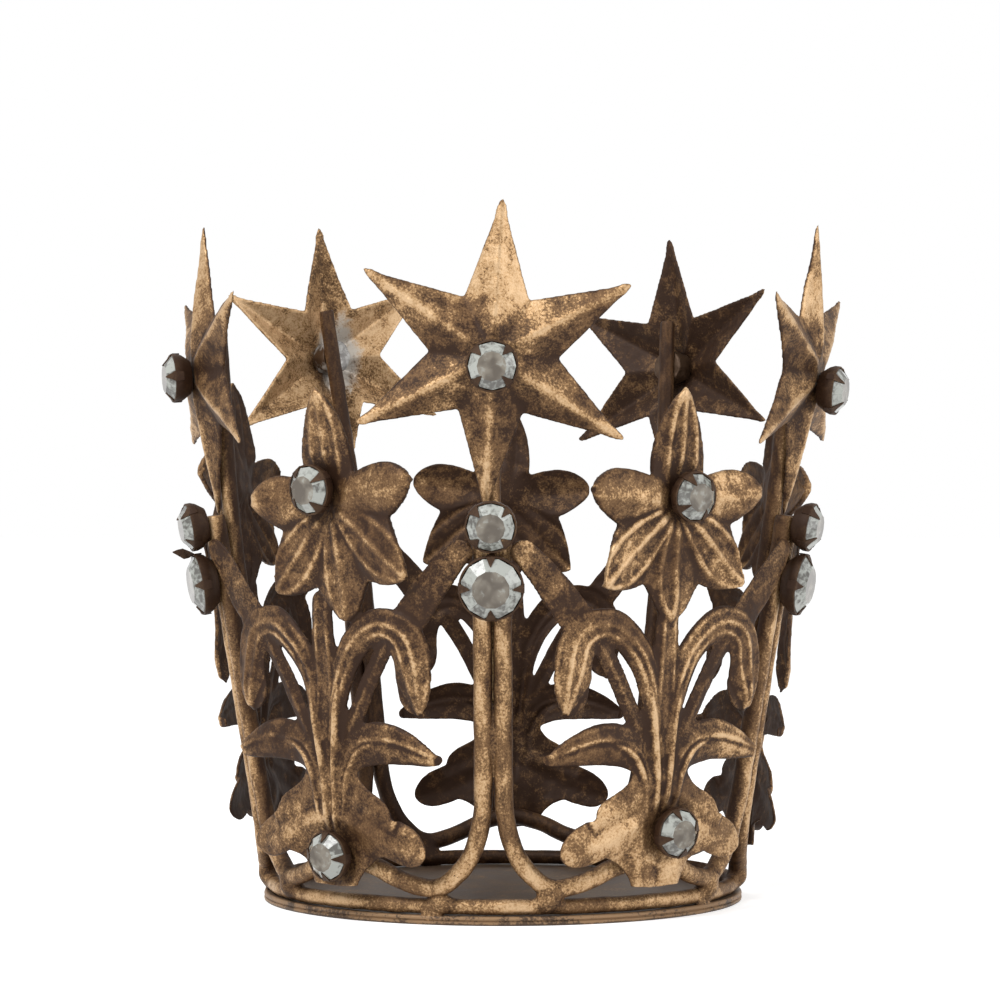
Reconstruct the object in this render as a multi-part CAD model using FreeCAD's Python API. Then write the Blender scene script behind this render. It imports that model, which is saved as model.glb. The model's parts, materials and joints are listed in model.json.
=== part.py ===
"""A small crown of brazed wire and stamped sheet, in millimetres.

Five posts stand round a flat sheet floor. Each post is made of the ends of two neighbouring bent
wires, and carries two set stones and a six-pointed star on a stem of its own. Between the posts
hangs a stamped spray: a lobed root leaf, two drooping leaves, two curls that reach the posts and
a lily with six petals.

Origin: centre of the floor, on the surface that the crown stands on. +Z is up and -Y is the front.
A bay's angle is measured from -Y towards +X. Each piece is drawn at angle 0, so its outward
direction is -Y, and is then turned to its bay.
"""

import FreeCAD, Part
import math
import os
from collections import namedtuple

from FreeCAD import Placement, Rotation, Vector

# Layout
BAYS = 5
CLEARANCE = 0.03                # between two faces that are brazed or set together
BEND_SHARE = 0.45               # how much of the shorter run beside it each bend of a wire takes up

# Floor plate: a sheet disc with a turned-down rim
PLATE_RADIUS = 46.9
PLATE_SHEET = 0.8
RIM_HEIGHT = 1.7
RIM_WIDTH = 1.4
RIM_BEAD = 0.35                 # rounding of the rim's outer edges

# Base ring: round wire lying on the plate
RING_WIRE = 3.0
RING_LEDGE = 0.6                # how far the plate's edge shows outside the ring

# Frame wires: one bent wire per bay, up one post, under the spray and up the next post
FRAME_WIRE = 3.5
FOOT_OUT = 1.35                 # the foot's centre line outside the ring's centre line
FRAME_LEAN = 0.168              # outward lean, mm per mm of height
POST_GAP = 0.2                  # between the two wires of a post
POST_TOP_Z = 75.0
KNEE_Z = 20.0                   # where an upright starts to bend outwards
FOOT_SPREAD = 10.0              # from the post's middle to each foot, along the ring
ARCH_RISE = 5.6                 # height of the low arch under the spray above the feet
KNEE_SPREAD = 2.4               # how far an upright has bent out halfway down to its foot
KNEE_DROP = 1.4                 # how far below halfway that is
ARCH_BENDS = ((6.6, 0.22), (13.4, 0.78))    # (distance beyond the foot, share of the rise)

# Star stems: a straight rod behind the two wires, bent once below the star
STEM_WIRE = 3.2
STEM_FOOT_Z = 41.0
STEM_BEND_Z = 72.0
STEM_ABOVE_STAR = 9.5           # how far the stem reaches above the star's centre

# Stars
STAR_Z = 102.6
STAR_TIP = 28.0                 # centre to point
STAR_VALLEY = 11.6              # centre to the corner between two points
STAR_APEX = 5.6                 # height of the folded ridges where they would meet
STAR_SEAT = 4.6                 # height of the small flat that carries the star's stone
STAR_SEAT_RADIUS = 5.8
STAR_EDGE = 0.6
STAR_SHEET = 0.8
STAR_POINTS = 6

# Stones and their cups: (girdle diameter, table share)
SMALL_STONE = 8.5
LARGE_STONE = 11.0
TABLE_SHARE = 0.60
STONE_SIDES = 12
STONE_CROWN = 1.5               # table above the girdle
STONE_GIRDLE = 0.4
CUP_WALL = 0.35
CUP_FLOOR = 0.5
CUP_HEIGHT = 3.5
CUP_TAPER_TOP = 2.5             # the wall flares from the floor up to here
CUP_FLOOR_SHARE = 0.70          # radius of the floor to that of the rim
PRONG_COUNT = 4
PRONG_WIDTH = 2.6
PRONG_SHEET = 0.3
PRONG_REACH = 1.5               # from the cup's outer wall inwards

# Stones on a post, and on a spray. A prong points down at a turn of 0. The turns of the other
# stones follow (turn on the first bay, further turn on each next bay).
LOWER_STONE_Z = 62.3
UPPER_STONE_Z = 73.2
LOWER_STONE_TURN = 0.0
UPPER_STONE_TURN = 45.0
ROOT_STONE_Z = 14.2
STAR_STONE_TURNS = (45.0, 12.0)
LILY_STONE_TURNS = (30.0, 24.0)
ROOT_STONE_TURNS = (15.0, 18.0)

# Spray: a sheet that leans less than the frame and is bent flatter than the ring
SPRAY_SHEET = 1.2
SPRAY_LEAN = 0.0875
SPRAY_BEND = 103.0              # inside radius of the sheet's bend at the level of the arch

# Its leaves: first number along the bay from its middle, second the height. The root leaf is drawn
# as the smooth stretches of its right half, and each other leaf as a middle line with its widths.
ROOT_LEAF = (
    ((0.0, 30.0), (6.0, 28.0)),
    ((6.0, 28.0), (8.4, 25.0), (11.6, 23.2), (13.6, 19.8)),
    ((13.6, 19.8), (16.4, 18.6), (19.2, 16.2), (20.0, 13.4), (18.2, 11.4), (15.0, 11.2), (11.2, 12.6)),
    ((11.2, 12.6), (8.4, 11.4), (6.4, 9.4), (5.2, 7.0)),
    ((5.2, 7.0), (0.0, 6.6)),
)
STEM_LINE = ((0.0, 7.0), (0.0, 24.0), (0.0, 36.0), (0.0, 48.0), (0.0, 59.0))
STEM_WIDTHS = (8.0, 11.0, 8.0, 6.0, 4.2)
LEAF_LINE = ((1.5, 25.5), (6.0, 31.8), (11.5, 33.4), (17.0, 32.6), (22.4, 30.8))
LEAF_WIDTHS = (4.0, 7.0, 7.8, 6.2, 2.2)
PROP_LINE = ((2.0, 28.0), (5.5, 36.0), (10.0, 45.0), (15.0, 53.0))
PROP_WIDTHS = (3.2, 3.4, 3.4, 3.6)
CURL_LINE = ((1.2, 34.0), (3.2, 44.0), (7.0, 51.2), (12.6, 54.8), (17.6, 52.8), (19.2, 46.6), (20.0, 38.8))
CURL_WIDTHS = (4.6, 5.0, 5.8, 6.6, 7.6, 7.2, 1.2)
SHOULDER_LINE = ((17.0, 54.0), (23.1, 61.6), (26.8, 66.0))
SHOULDER_WIDTHS = (6.0, 5.9, 5.0)
SHOULDER_END_Z = 68.3
SHOULDER_END_GAP = 4.8          # from the post's middle
SHOULDER_END_WIDTH = 4.4

# Lily: petal outlines about its own middle
FLOWER_Z = 78.5
FLOWER_PROUD = 0.4              # the lily's back stands this far out from the back of the stem
PETALS = (
    ((0.0, 20.0), (3.3, 15.6), (5.4, 9.6), (5.8, 3.4)),
    ((5.8, 3.4), (11.2, 4.8), (16.0, 4.2), (18.9, 1.2), (16.6, -2.8), (12.6, -5.2)),
    ((12.6, -5.2), (14.6, -10.4), (15.8, -16.6)),
    ((15.8, -16.6), (11.4, -17.4), (6.2, -16.2)),
    ((6.2, -16.2), (4.4, -18.8), (2.8, -21.4), (0.0, -23.2)),
)

# Braze lumps
FOOT_LUMP = 1.9
RING_LUMP_ANGLE = 19.0          # from the middle of a bay
RING_LUMP_TURN = 5.0            # how much of the ring it covers
POST_LUMP = 1.2
POST_LUMP_OUT = 1.2             # its middle line in front of that of the wires
POST_LUMP_Z = 28.0
POST_LUMP_LENGTH = 11.0
SHOULDER_LUMP = 1.6
STAR_LUMP = 3.4

# How each bay differs from the drawing, counted from the front post. The star and the stones of a
# post come first, then the spray that follows it. Turns are in degrees, seen from outside. The
# upper end of a stem stands stem_side from the middle of its star.
Hand = namedtuple(
    "Hand",
    "star_lean star_turn star_lift star_side stem_side star_stone_drop post_lift"
    " spray_lift lily_side lily_turn lily_stone_side lily_stone_lift root_stone_side root_stone_lift")
HANDS = (
    Hand(0.10, -3.4, 0.8, 0.4, -0.4, 1.6, 0.0, 0.0, 0.3, 0.0, 1.7, 0.0, 2.4, 2.7),
    Hand(0.13, 2.0, 0.0, 0.0, 0.0, 3.0, 0.0, 2.3, -0.5, 3.0, 0.6, 0.0, 0.6, 0.0),
    Hand(0.10, -4.0, 4.2, 1.6, 0.0, 0.6, 2.4, 2.4, 2.4, 3.0, -0.4, 0.0, -0.8, -0.8),
    Hand(0.11, -4.0, 6.4, 2.7, 2.4, 0.4, 3.4, 4.0, 0.0, 2.0, 0.5, 0.0, 0.4, 0.8),
    Hand(0.06, -1.0, 0.0, 0.0, 0.0, 0.9, 0.0, 0.0, 4.1, 5.5, -2.2, 1.3, 0.7, -1.6),
)

# Sizes that follow
BAY_ANGLE = 360.0 / BAYS
HALF_BAY = math.radians(BAY_ANGLE / 2)
RING_RADIUS = PLATE_RADIUS - RING_LEDGE - RING_WIRE / 2
RING_Z = RIM_HEIGHT + RING_WIRE / 2
WIRES_TOUCH = (RING_WIRE + FRAME_WIRE) / 2 + CLEARANCE
FOOT_Z = RING_Z + math.sqrt(WIRES_TOUCH ** 2 - FOOT_OUT ** 2)
FOOT_RADIUS = RING_RADIUS + FOOT_OUT
LEAN_COS = 1 / math.hypot(1, FRAME_LEAN)
SPRAY_COS = 1 / math.hypot(1, SPRAY_LEAN)
UPRIGHT_OFFSET = (FRAME_WIRE + POST_GAP) / 2
OUT = Vector(0, -1, 0)
UP = Vector(0, 0, 1)
ORIGIN = Vector(0, 0, 0)
FAR = 3 * PLATE_RADIUS          # longer than anything that is cut or cut away


def frame_radius(z):
    """Distance of the frame's centre line from the axis at a height."""
    return FOOT_RADIUS + FRAME_LEAN * (z - FOOT_Z)


def spray_radius(z):
    """Distance of the spray's back from the axis in the middle of its bay, where it clears the arch."""
    arch_z = FOOT_Z + ARCH_RISE
    return frame_radius(arch_z) + FRAME_WIRE / 2 / LEAN_COS + CLEARANCE + SPRAY_LEAN * (z - arch_z)


def spray_reach(z, angle):
    """Distance of the spray's back from the axis at an angle, in radians, from its bay's middle."""
    behind = SPRAY_BEND - spray_radius(FOOT_Z + ARCH_RISE)
    bend = spray_radius(z) + behind
    return math.sqrt(bend ** 2 - (behind * math.sin(angle)) ** 2) - behind * math.cos(angle)


def around(radius, angle, z):
    """A point at an angle, in radians, from the front."""
    return Vector(radius * math.sin(angle), -radius * math.cos(angle), z)


def turned(shape, degrees):
    """A copy of a shape turned about the crown's axis."""
    copy = shape.copy()
    copy.rotate(ORIGIN, UP, degrees)
    return copy


def lean_frame(radius, z, lean):
    """Placement whose Z axis points straight out of a surface that leans outwards."""
    back = math.atan(lean)
    normal = Vector(0, -math.cos(back), -math.sin(back))
    along = Vector(1, 0, 0)
    return Placement(Vector(0, -radius, z), Rotation(along, normal.cross(along), normal, "ZXY"))


def rod(points, diameter):
    """A round wire along straight runs joined by the largest tangent arcs that fit."""
    edges = []
    start = points[0]
    for before, corner, after in zip(points, points[1:], points[2:]):
        inward, outward = before - corner, after - corner
        turn = math.pi - inward.getAngle(outward)
        if turn < math.radians(0.5):
            continue
        cut = BEND_SHARE * min(inward.Length, outward.Length)
        bend = cut / math.tan(turn / 2)
        inward.normalize()
        outward.normalize()
        first, last = corner + inward * cut, corner + outward * cut
        half = inward + outward
        half.normalize()
        middle = corner + half * (math.hypot(bend, cut) - bend)
        edges.append(Part.LineSegment(start, first).toShape())
        edges.append(Part.Arc(first, middle, last).toShape())
        start = last
    edges.append(Part.LineSegment(start, points[-1]).toShape())
    path = Part.Wire(edges)
    ahead = points[1] - points[0]
    section = Part.Wire(Part.makeCircle(diameter / 2, points[0], ahead))
    return path.makePipeShell([section], True, True)


def ridge_curve(points):
    """A smooth flat curve through (x, z) points."""
    curve = Part.BSplineCurve()
    curve.interpolate([Vector(x, 0, z) for x, z in points])
    return curve


def blade_face(line, widths):
    """A flat leaf about a middle line, as wide at each of its points as the widths say."""
    curve = ridge_curve(line)
    left, right = [], []
    for (x, z), width in zip(line, widths):
        tangent = curve.tangent(curve.parameter(Vector(x, 0, z)))[0]
        side = Vector(-tangent.z, 0, tangent.x)
        middle = Vector(x, 0, z)
        left.append(middle + side * (width / 2))
        right.append(middle - side * (width / 2))
    edges = []
    for run in (left, right[::-1]):
        edge = Part.BSplineCurve()
        edge.interpolate(run)
        edges.append(edge.toShape())
    tip = curve.value(curve.LastParameter)
    ahead = curve.tangent(curve.LastParameter)[0]
    nose = tip + ahead * (widths[-1] / 2)
    cap = Part.Arc(left[-1], nose, right[-1]).toShape()
    butt = Part.LineSegment(right[0], left[0]).toShape()
    return Part.Face(Part.Wire([edges[0], cap, edges[1], butt]))


def mirrored_face(stretches, place):
    """A flat face with smooth stretches for its right half, the same on its left, laid out by place."""
    edges = []
    for side in (1, -1):
        for stretch in stretches:
            curve = Part.BSplineCurve()
            curve.interpolate([place(side * x, y) for x, y in stretch])
            edges.append(curve.toShape())
    return Part.Face(Part.Wire(Part.__sortEdges__(edges)))


def wrap(points):
    """Lays (along the bay, height) points out as they look from straight in front of the bay."""
    flat = []
    for s, z in points:
        angle = s / spray_radius(z)
        flat.append((spray_reach(z, angle) * math.sin(angle), z))
    return flat


def spray_sheet():
    """The bent, leaning sheet that the leaves of a spray are cut from."""
    behind = SPRAY_BEND - spray_radius(FOOT_Z + ARCH_RISE)
    low, high = (Vector(0, -spray_radius(z), z) for z in (0.0, STAR_Z))
    thick = Vector(0, -SPRAY_SHEET / SPRAY_COS, 0)
    section = Part.Face(Part.makePolygon([low, high, high + thick, low + thick, low]))
    sheet = section.revolve(Vector(0, behind, 0), UP, BAY_ANGLE)
    sheet.rotate(Vector(0, behind, 0), UP, -BAY_ANGLE / 2)
    return sheet


def spray_place(z):
    """Placement on the front of the spray's middle line."""
    return lean_frame(spray_radius(z) + SPRAY_SHEET / SPRAY_COS, z, SPRAY_LEAN)


def lily(side, turn):
    """Six flat petals, standing slightly proud of the sheet, shifted and turned about their middle."""
    petals = mirrored_face(PETALS, lambda x, y: Vector(x, y, 0)).extrude(UP * SPRAY_SHEET)
    raised = Vector(side, 0, FLOWER_PROUD - SPRAY_SHEET)
    petals.Placement = spray_place(FLOWER_Z).multiply(Placement(raised, Rotation(UP, turn)))
    return petals


def spray(hand, posts):
    """One stamped spray, trimmed where it meets the posts beside it."""
    root = mirrored_face([wrap(stretch) for stretch in ROOT_LEAF], lambda x, z: Vector(x, 0, z))
    post_end = (spray_radius(SHOULDER_END_Z) * HALF_BAY - SHOULDER_END_GAP, SHOULDER_END_Z)
    halves = [
        blade_face(wrap(LEAF_LINE), LEAF_WIDTHS),
        blade_face(wrap(PROP_LINE), PROP_WIDTHS),
        blade_face(wrap(CURL_LINE), CURL_WIDTHS),
        blade_face(wrap(SHOULDER_LINE + (post_end,)), SHOULDER_WIDTHS + (SHOULDER_END_WIDTH,)),
    ]
    stem = blade_face(wrap(STEM_LINE), STEM_WIDTHS)
    halves = [half.extrude(OUT * FAR) for half in halves]
    halves += [half.mirror(ORIGIN, Vector(1, 0, 0)) for half in halves]
    blank = root.extrude(OUT * FAR).fuse([stem.extrude(OUT * FAR)] + halves)
    stamped = spray_sheet().common(blank).fuse(lily(hand.lily_side, hand.lily_turn)).removeSplitter()
    stamped.translate(spray_rise(hand))
    return stamped.cut(posts)


def spray_rise(hand):
    """How a spray moves up along its own lean."""
    return Vector(0, -SPRAY_LEAN * hand.spray_lift, hand.spray_lift)


def frame_wire():
    """The bent wire of one bay, drawn with the bay's middle at the front."""
    half = [
        (UPRIGHT_OFFSET, POST_TOP_Z),
        (UPRIGHT_OFFSET, KNEE_Z),
        (UPRIGHT_OFFSET + KNEE_SPREAD, (KNEE_Z + FOOT_Z) / 2 - KNEE_DROP),
        (FOOT_SPREAD, FOOT_Z),
    ]
    half += [(FOOT_SPREAD + beyond, FOOT_Z + share * ARCH_RISE) for beyond, share in ARCH_BENDS]
    right = [around(frame_radius(z), HALF_BAY - s / frame_radius(z), z) for s, z in half]
    left = [Vector(-p.x, p.y, p.z) for p in right]
    top = around(frame_radius(FOOT_Z + ARCH_RISE), 0.0, FOOT_Z + ARCH_RISE)
    return rod(right + [top] + left[::-1], FRAME_WIRE)


def stem_radius(z):
    """Centre line of a star's stem where it nests behind the two wires of a post."""
    nest = math.sqrt(((FRAME_WIRE + STEM_WIRE) / 2 + CLEARANCE) ** 2 - UPRIGHT_OFFSET ** 2)
    return frame_radius(z) - nest / LEAN_COS


def star_stem(hand):
    """The rod that carries a star."""
    top = star_place(hand).multVec(Vector(hand.stem_side, STEM_ABOVE_STAR, -STEM_WIRE / 2 - CLEARANCE))
    nest = [Vector(0, -stem_radius(z), z) for z in (STEM_FOOT_Z, STEM_BEND_Z)]
    return rod(nest + [top], STEM_WIRE)


def star_place(hand):
    """Placement of a star: its back plane lies on the stem, with Z pointing out."""
    z = STAR_Z + hand.star_lift
    radius = stem_radius(STEM_BEND_Z) + hand.star_lean * (z - STEM_BEND_Z)
    radius += (STEM_WIRE / 2 + CLEARANCE) * math.hypot(1, hand.star_lean)
    place = lean_frame(radius, z, hand.star_lean)
    place.Base.x = hand.star_side
    return place


def roof(drop):
    """A solid six-pointed pyramid with an upright edge, lowered by drop."""
    rim = []
    for i in range(2 * STAR_POINTS):
        reach = STAR_TIP if i % 2 == 0 else STAR_VALLEY
        angle = math.pi / 2 + math.pi * i / STAR_POINTS
        rim.append(Vector(reach * math.cos(angle), reach * math.sin(angle), STAR_EDGE - drop))
    base = [Vector(p.x, p.y, -drop) for p in rim]
    apex = Vector(0, 0, STAR_APEX - drop)
    faces = [Part.Face(Part.makePolygon(base + base[:1]))]
    for i, j in zip(range(len(rim)), list(range(1, len(rim))) + [0]):
        faces.append(Part.Face(Part.makePolygon([base[i], base[j], rim[j], rim[i], base[i]])))
        faces.append(Part.Face(Part.makePolygon([rim[i], rim[j], apex, rim[i]])))
    return Part.makeSolid(Part.makeShell(faces))


def star(hand):
    """A star of folded sheet, hollow behind, with a small flat for its stone."""
    shell = roof(0.0).cut(roof(STAR_SHEET))
    above = Part.makeCylinder(STAR_TIP, STAR_APEX, Vector(0, 0, STAR_SEAT))
    seat = Part.makeCylinder(STAR_SEAT_RADIUS, PRONG_SHEET, Vector(0, 0, STAR_SEAT - PRONG_SHEET))
    shell = shell.cut(above).fuse(seat.common(roof(0.0))).removeSplitter()
    shell.Placement = star_place(hand).multiply(Placement(ORIGIN, Rotation(UP, hand.star_turn)))
    return shell


def polygon_points(radius, z, sides=STONE_SIDES):
    """Corners of a regular polygon round the Z axis."""
    steps = [2 * math.pi * (i + 0.5) / sides for i in range(sides)]
    return [Vector(radius * math.cos(a), radius * math.sin(a), z) for a in steps]


def stone(diameter):
    """A cut glass stone: table up, girdle at the cup's rim, point on the cup's floor."""
    girdle = diameter / 2
    levels = [
        polygon_points(girdle, CUP_HEIGHT - STONE_GIRDLE),
        polygon_points(girdle, CUP_HEIGHT),
        polygon_points(girdle * TABLE_SHARE, CUP_HEIGHT + STONE_CROWN),
    ]
    point = Vector(0, 0, CUP_FLOOR)
    faces = [Part.Face(Part.makePolygon(levels[2] + levels[2][:1]))]
    following = list(range(1, STONE_SIDES)) + [0]
    for i, j in enumerate(following):
        faces.append(Part.Face(Part.makePolygon([point, levels[0][j], levels[0][i], point])))
        for low, high in zip(levels, levels[1:]):
            faces.append(Part.Face(Part.makePolygon([low[i], low[j], high[j], high[i], low[i]])))
    return Part.makeSolid(Part.makeShell(faces))


def cup_radius(diameter):
    """Outside radius of the cup of a stone."""
    return diameter / 2 + CLEARANCE + CUP_WALL


def cup(diameter):
    """A turned cup with prongs folded over the stone's bevel."""
    outer = cup_radius(diameter)
    inner = outer - CUP_WALL
    bevel = STONE_CROWN / (diameter / 2 * (1 - TABLE_SHARE))
    foot = outer * CUP_FLOOR_SHARE
    wall = [
        (0, 0), (foot, 0), (outer, CUP_TAPER_TOP), (outer, CUP_HEIGHT),
        (inner, CUP_HEIGHT), (inner, CUP_TAPER_TOP), (foot, CUP_FLOOR), (0, CUP_FLOOR), (0, 0),
    ]
    profile = Part.Face(Part.makePolygon([Vector(x, 0, z) for x, z in wall]))
    body = profile.revolve(ORIGIN, UP, 360)
    tip = Vector(outer - PRONG_REACH, 0, CUP_HEIGHT + bevel * (PRONG_REACH - CUP_WALL))
    thick = Vector(0, 0, PRONG_SHEET)
    rim = [Vector(inner, 0, CUP_HEIGHT), Vector(outer, 0, CUP_HEIGHT)]
    section = Part.Face(Part.makePolygon([rim[0], rim[1], rim[1] + thick, tip + thick, tip, rim[0]]))
    fold = section.revolve(ORIGIN, UP, 360)
    prongs = []
    for i in range(PRONG_COUNT):
        root = [Vector(2 * outer - tip.x, side * PRONG_WIDTH, 0) for side in (-1, 1)]
        wedge = Part.Face(Part.makePolygon([Vector(tip.x, 0, 0), root[0], root[1], Vector(tip.x, 0, 0)]))
        prong = fold.common(wedge.extrude(UP * 2 * CUP_HEIGHT))
        prong.rotate(ORIGIN, UP, 360.0 * i / PRONG_COUNT)
        prongs.append(prong)
    return body.fuse(prongs).removeSplitter()


def set_pair(diameter, place, turns, bay):
    """A cup and its stone at a placement, turned about their own axis as their bay says."""
    turn = turns[0] + turns[1] * bay
    pair = []
    for shape in (cup(diameter), stone(diameter)):
        shape.Placement = place.multiply(Placement(ORIGIN, Rotation(UP, turn)))
        pair.append(shape)
    return pair


def post_place(z):
    """Placement of a stone on the two wires of a post."""
    seat = frame_radius(z) + (FRAME_WIRE / 2 + CLEARANCE) / LEAN_COS
    return lean_frame(seat, z, FRAME_LEAN)


def lily_place(hand):
    """Placement of the stone near the middle of a lily."""
    place = spray_place(FLOWER_Z)
    seat = Vector(hand.lily_side + hand.lily_stone_side, hand.lily_stone_lift, FLOWER_PROUD + CLEARANCE)
    place = place.multiply(Placement(seat, Rotation()))
    place.move(spray_rise(hand))
    return place


def root_place(hand):
    """Placement of the stone on a root leaf, beside its middle line."""
    z = ROOT_STONE_Z + hand.root_stone_lift
    place = spray_place(z)
    place = place.multiply(Placement(Vector(0, 0, CLEARANCE), Rotation()))
    place.move(spray_rise(hand))
    behind = SPRAY_BEND - spray_radius(FOOT_Z + ARCH_RISE)
    turn = math.degrees(hand.root_stone_side / (spray_radius(z) + behind))
    return Placement(ORIGIN, Rotation(UP, turn), Vector(0, behind, 0)).multiply(place)


def base_plate():
    """Sheet disc with a turned-down, rounded rim."""
    disc = Part.makeCylinder(PLATE_RADIUS, RIM_HEIGHT)
    hollow = Part.makeCylinder(PLATE_RADIUS - RIM_WIDTH, RIM_HEIGHT - PLATE_SHEET)
    rim_edges = [e for e in disc.Edges if isinstance(e.Curve, Part.Circle)]
    return disc.makeFillet(min(RIM_BEAD, RIM_HEIGHT / 3), rim_edges).cut(hollow)


def base_ring():
    """Closed ring of round wire on the plate."""
    return Part.makeTorus(RING_RADIUS, RING_WIRE / 2, Vector(0, 0, RING_Z + CLEARANCE))


def foot_lump(side, frame, ring):
    """Braze in the outer groove between a foot of a frame wire and the ring."""
    angle = side * (HALF_BAY - FOOT_SPREAD / FOOT_RADIUS)
    centre = around(FOOT_RADIUS, angle, (RING_Z + FOOT_Z) / 2)
    return Part.makeSphere(FOOT_LUMP, centre).cut([frame, ring])


def ring_lump(ring):
    """Braze in the outer groove between the ring and the plate."""
    groove = [
        Vector(0, -RING_RADIUS - RING_WIRE / 4, RIM_HEIGHT),
        Vector(0, RIM_BEAD - PLATE_RADIUS, RIM_HEIGHT),
        Vector(0, -RING_RADIUS - RING_WIRE / 2, RING_Z),
        Vector(0, -RING_RADIUS - RING_WIRE / 4, RING_Z),
    ]
    lump = Part.Face(Part.makePolygon(groove + groove[:1])).revolve(ORIGIN, UP, RING_LUMP_TURN)
    return turned(lump.cut(ring), RING_LUMP_ANGLE)


def post_lump(wires):
    """Braze in the front groove between the two wires of a post."""
    start = Vector(0, -frame_radius(POST_LUMP_Z) - POST_LUMP_OUT, POST_LUMP_Z)
    lump = Part.makeCylinder(POST_LUMP, POST_LUMP_LENGTH, start, Vector(0, -FRAME_LEAN, 1))
    return lump.cut(wires)


def shoulder_lump(side, hand, neighbours):
    """Braze where the end of a spray's shoulder meets a post."""
    z = SHOULDER_END_Z + hand.spray_lift
    angle = side * SHOULDER_END_GAP / frame_radius(z)
    return Part.makeSphere(SHOULDER_LUMP, around(frame_radius(z), angle, z)).cut(neighbours)


def star_solder(hand, stem, star_shape):
    """Solder between a star's hollow back and its stem."""
    lump = Part.makeCylinder(STAR_LUMP, STAR_SEAT)
    behind = Vector(0, 0, -STEM_WIRE / 3)
    lump.Placement = star_place(hand).multiply(Placement(behind, Rotation()))
    return lump.cut([stem, star_shape])


def cup_room(diameter, z):
    """The space that a cup on a post needs."""
    room = Part.makeCylinder(cup_radius(diameter) + CLEARANCE, 2 * CUP_HEIGHT, Vector(0, 0, -CUP_HEIGHT))
    room.Placement = post_place(z)
    return room


def main():
    """Builds every piece, and writes one STEP file for each node."""
    os.makedirs("parts", exist_ok=True)
    plate, ring, wire = base_plate(), base_ring(), frame_wire()
    hands = [HANDS[bay % len(HANDS)] for bay in range(BAYS)]
    post_wires = [turned(wire, side * BAY_ANGLE / 2) for side in (-1, 1)]
    post_stones = [
        (LARGE_STONE, LOWER_STONE_Z, LOWER_STONE_TURN),
        (SMALL_STONE, UPPER_STONE_Z, UPPER_STONE_TURN),
    ]
    foot_lumps = [foot_lump(side, wire, ring) for side in (-1, 1)]
    ring_spot, post_spot = ring_lump(ring), post_lump(post_wires)

    posts = []
    for hand in hands:
        rooms = [cup_room(size, z + hand.post_lift) for size, z, turn in post_stones]
        posts.append(post_wires + rooms)
    sprays = []
    for bay, hand in enumerate(hands):
        before = [turned(s, -BAY_ANGLE / 2) for s in posts[bay]]
        after = [turned(s, BAY_ANGLE / 2) for s in posts[(bay + 1) % BAYS]]
        sprays.append(spray(hand, before + after))

    nodes = {"base_plate": [plate], "base_ring": [ring]}
    for shared in ("foot_braze", "ring_braze", "post_braze", "shoulder_braze", "star_solder"):
        nodes[shared] = []
    for bay, hand in enumerate(hands):
        at_post, at_spray = bay * BAY_ANGLE, (bay + 0.5) * BAY_ANGLE
        stem, star_shape = star_stem(hand), star(hand)
        seat = Placement(Vector(0, -hand.star_stone_drop, STAR_SEAT + CLEARANCE), Rotation())
        star_set = set_pair(SMALL_STONE, star_place(hand).multiply(seat), STAR_STONE_TURNS, bay)
        lily_set = set_pair(SMALL_STONE, lily_place(hand), LILY_STONE_TURNS, bay)
        root_set = set_pair(SMALL_STONE, root_place(hand), ROOT_STONE_TURNS, bay)
        post_sets = []
        for size, z, turn in post_stones:
            post_sets.append(set_pair(size, post_place(z + hand.post_lift), (turn, 0.0), bay))
        pieces = {
            "frame_wire": (at_spray, [wire]),
            "flower_spray": (at_spray, [sprays[bay]]),
            "spray_cups": (at_spray, [lily_set[0], root_set[0]]),
            "spray_stones": (at_spray, [lily_set[1], root_set[1]]),
            "star_stem": (at_post, [stem]),
            "star": (at_post, [star_shape]),
            "star_cup": (at_post, [star_set[0]]),
            "star_stone": (at_post, [star_set[1]]),
            "post_cups": (at_post, [pair[0] for pair in post_sets]),
            "post_stones": (at_post, [pair[1] for pair in post_sets]),
        }
        for name, (angle, shapes) in pieces.items():
            nodes["%s_%d" % (name, bay + 1)] = [turned(s, angle) for s in shapes]
        cups = [pair[0] for pair in post_sets]
        for side, spray_bay in ((1, bay), (-1, bay - 1)):
            beside = turned(sprays[spray_bay], side * BAY_ANGLE / 2)
            lump = shoulder_lump(side, hands[spray_bay], post_wires + cups + [stem, beside])
            nodes["shoulder_braze"].append(turned(lump, at_post))
        nodes["foot_braze"] += [turned(s, at_spray) for s in foot_lumps]
        nodes["ring_braze"].append(turned(ring_spot, at_spray))
        nodes["post_braze"].append(turned(post_spot, at_post))
        nodes["star_solder"].append(turned(star_solder(hand, stem, star_shape), at_post))

    for name, shapes in nodes.items():
        solids = [solid for shape in shapes for solid in shape.Solids]
        Part.makeCompound(solids).exportStep("parts/%s.step" % name)
        print(name, len(solids), all(s.isValid() for s in solids), round(sum(s.Volume for s in solids), 2))


main()
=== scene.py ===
"""Looks of a small gilt crown of brazed wire, stamped sprays, folded stars and glass stones.

Every piece keeps the place that the construction gives it. A piece that needs a finer surface starts
as a copy of its construction solid, is given an even skin, and is pressed, hammered or worn from there.
Lengths are in millimetres until a mesh is written back in metres.
"""

import json
import logging
import math
from abc import ABC, abstractmethod
from dataclasses import dataclass
from enum import Enum

import bmesh
import bpy
import numpy as np
from mathutils import Matrix, Vector, noise

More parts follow.
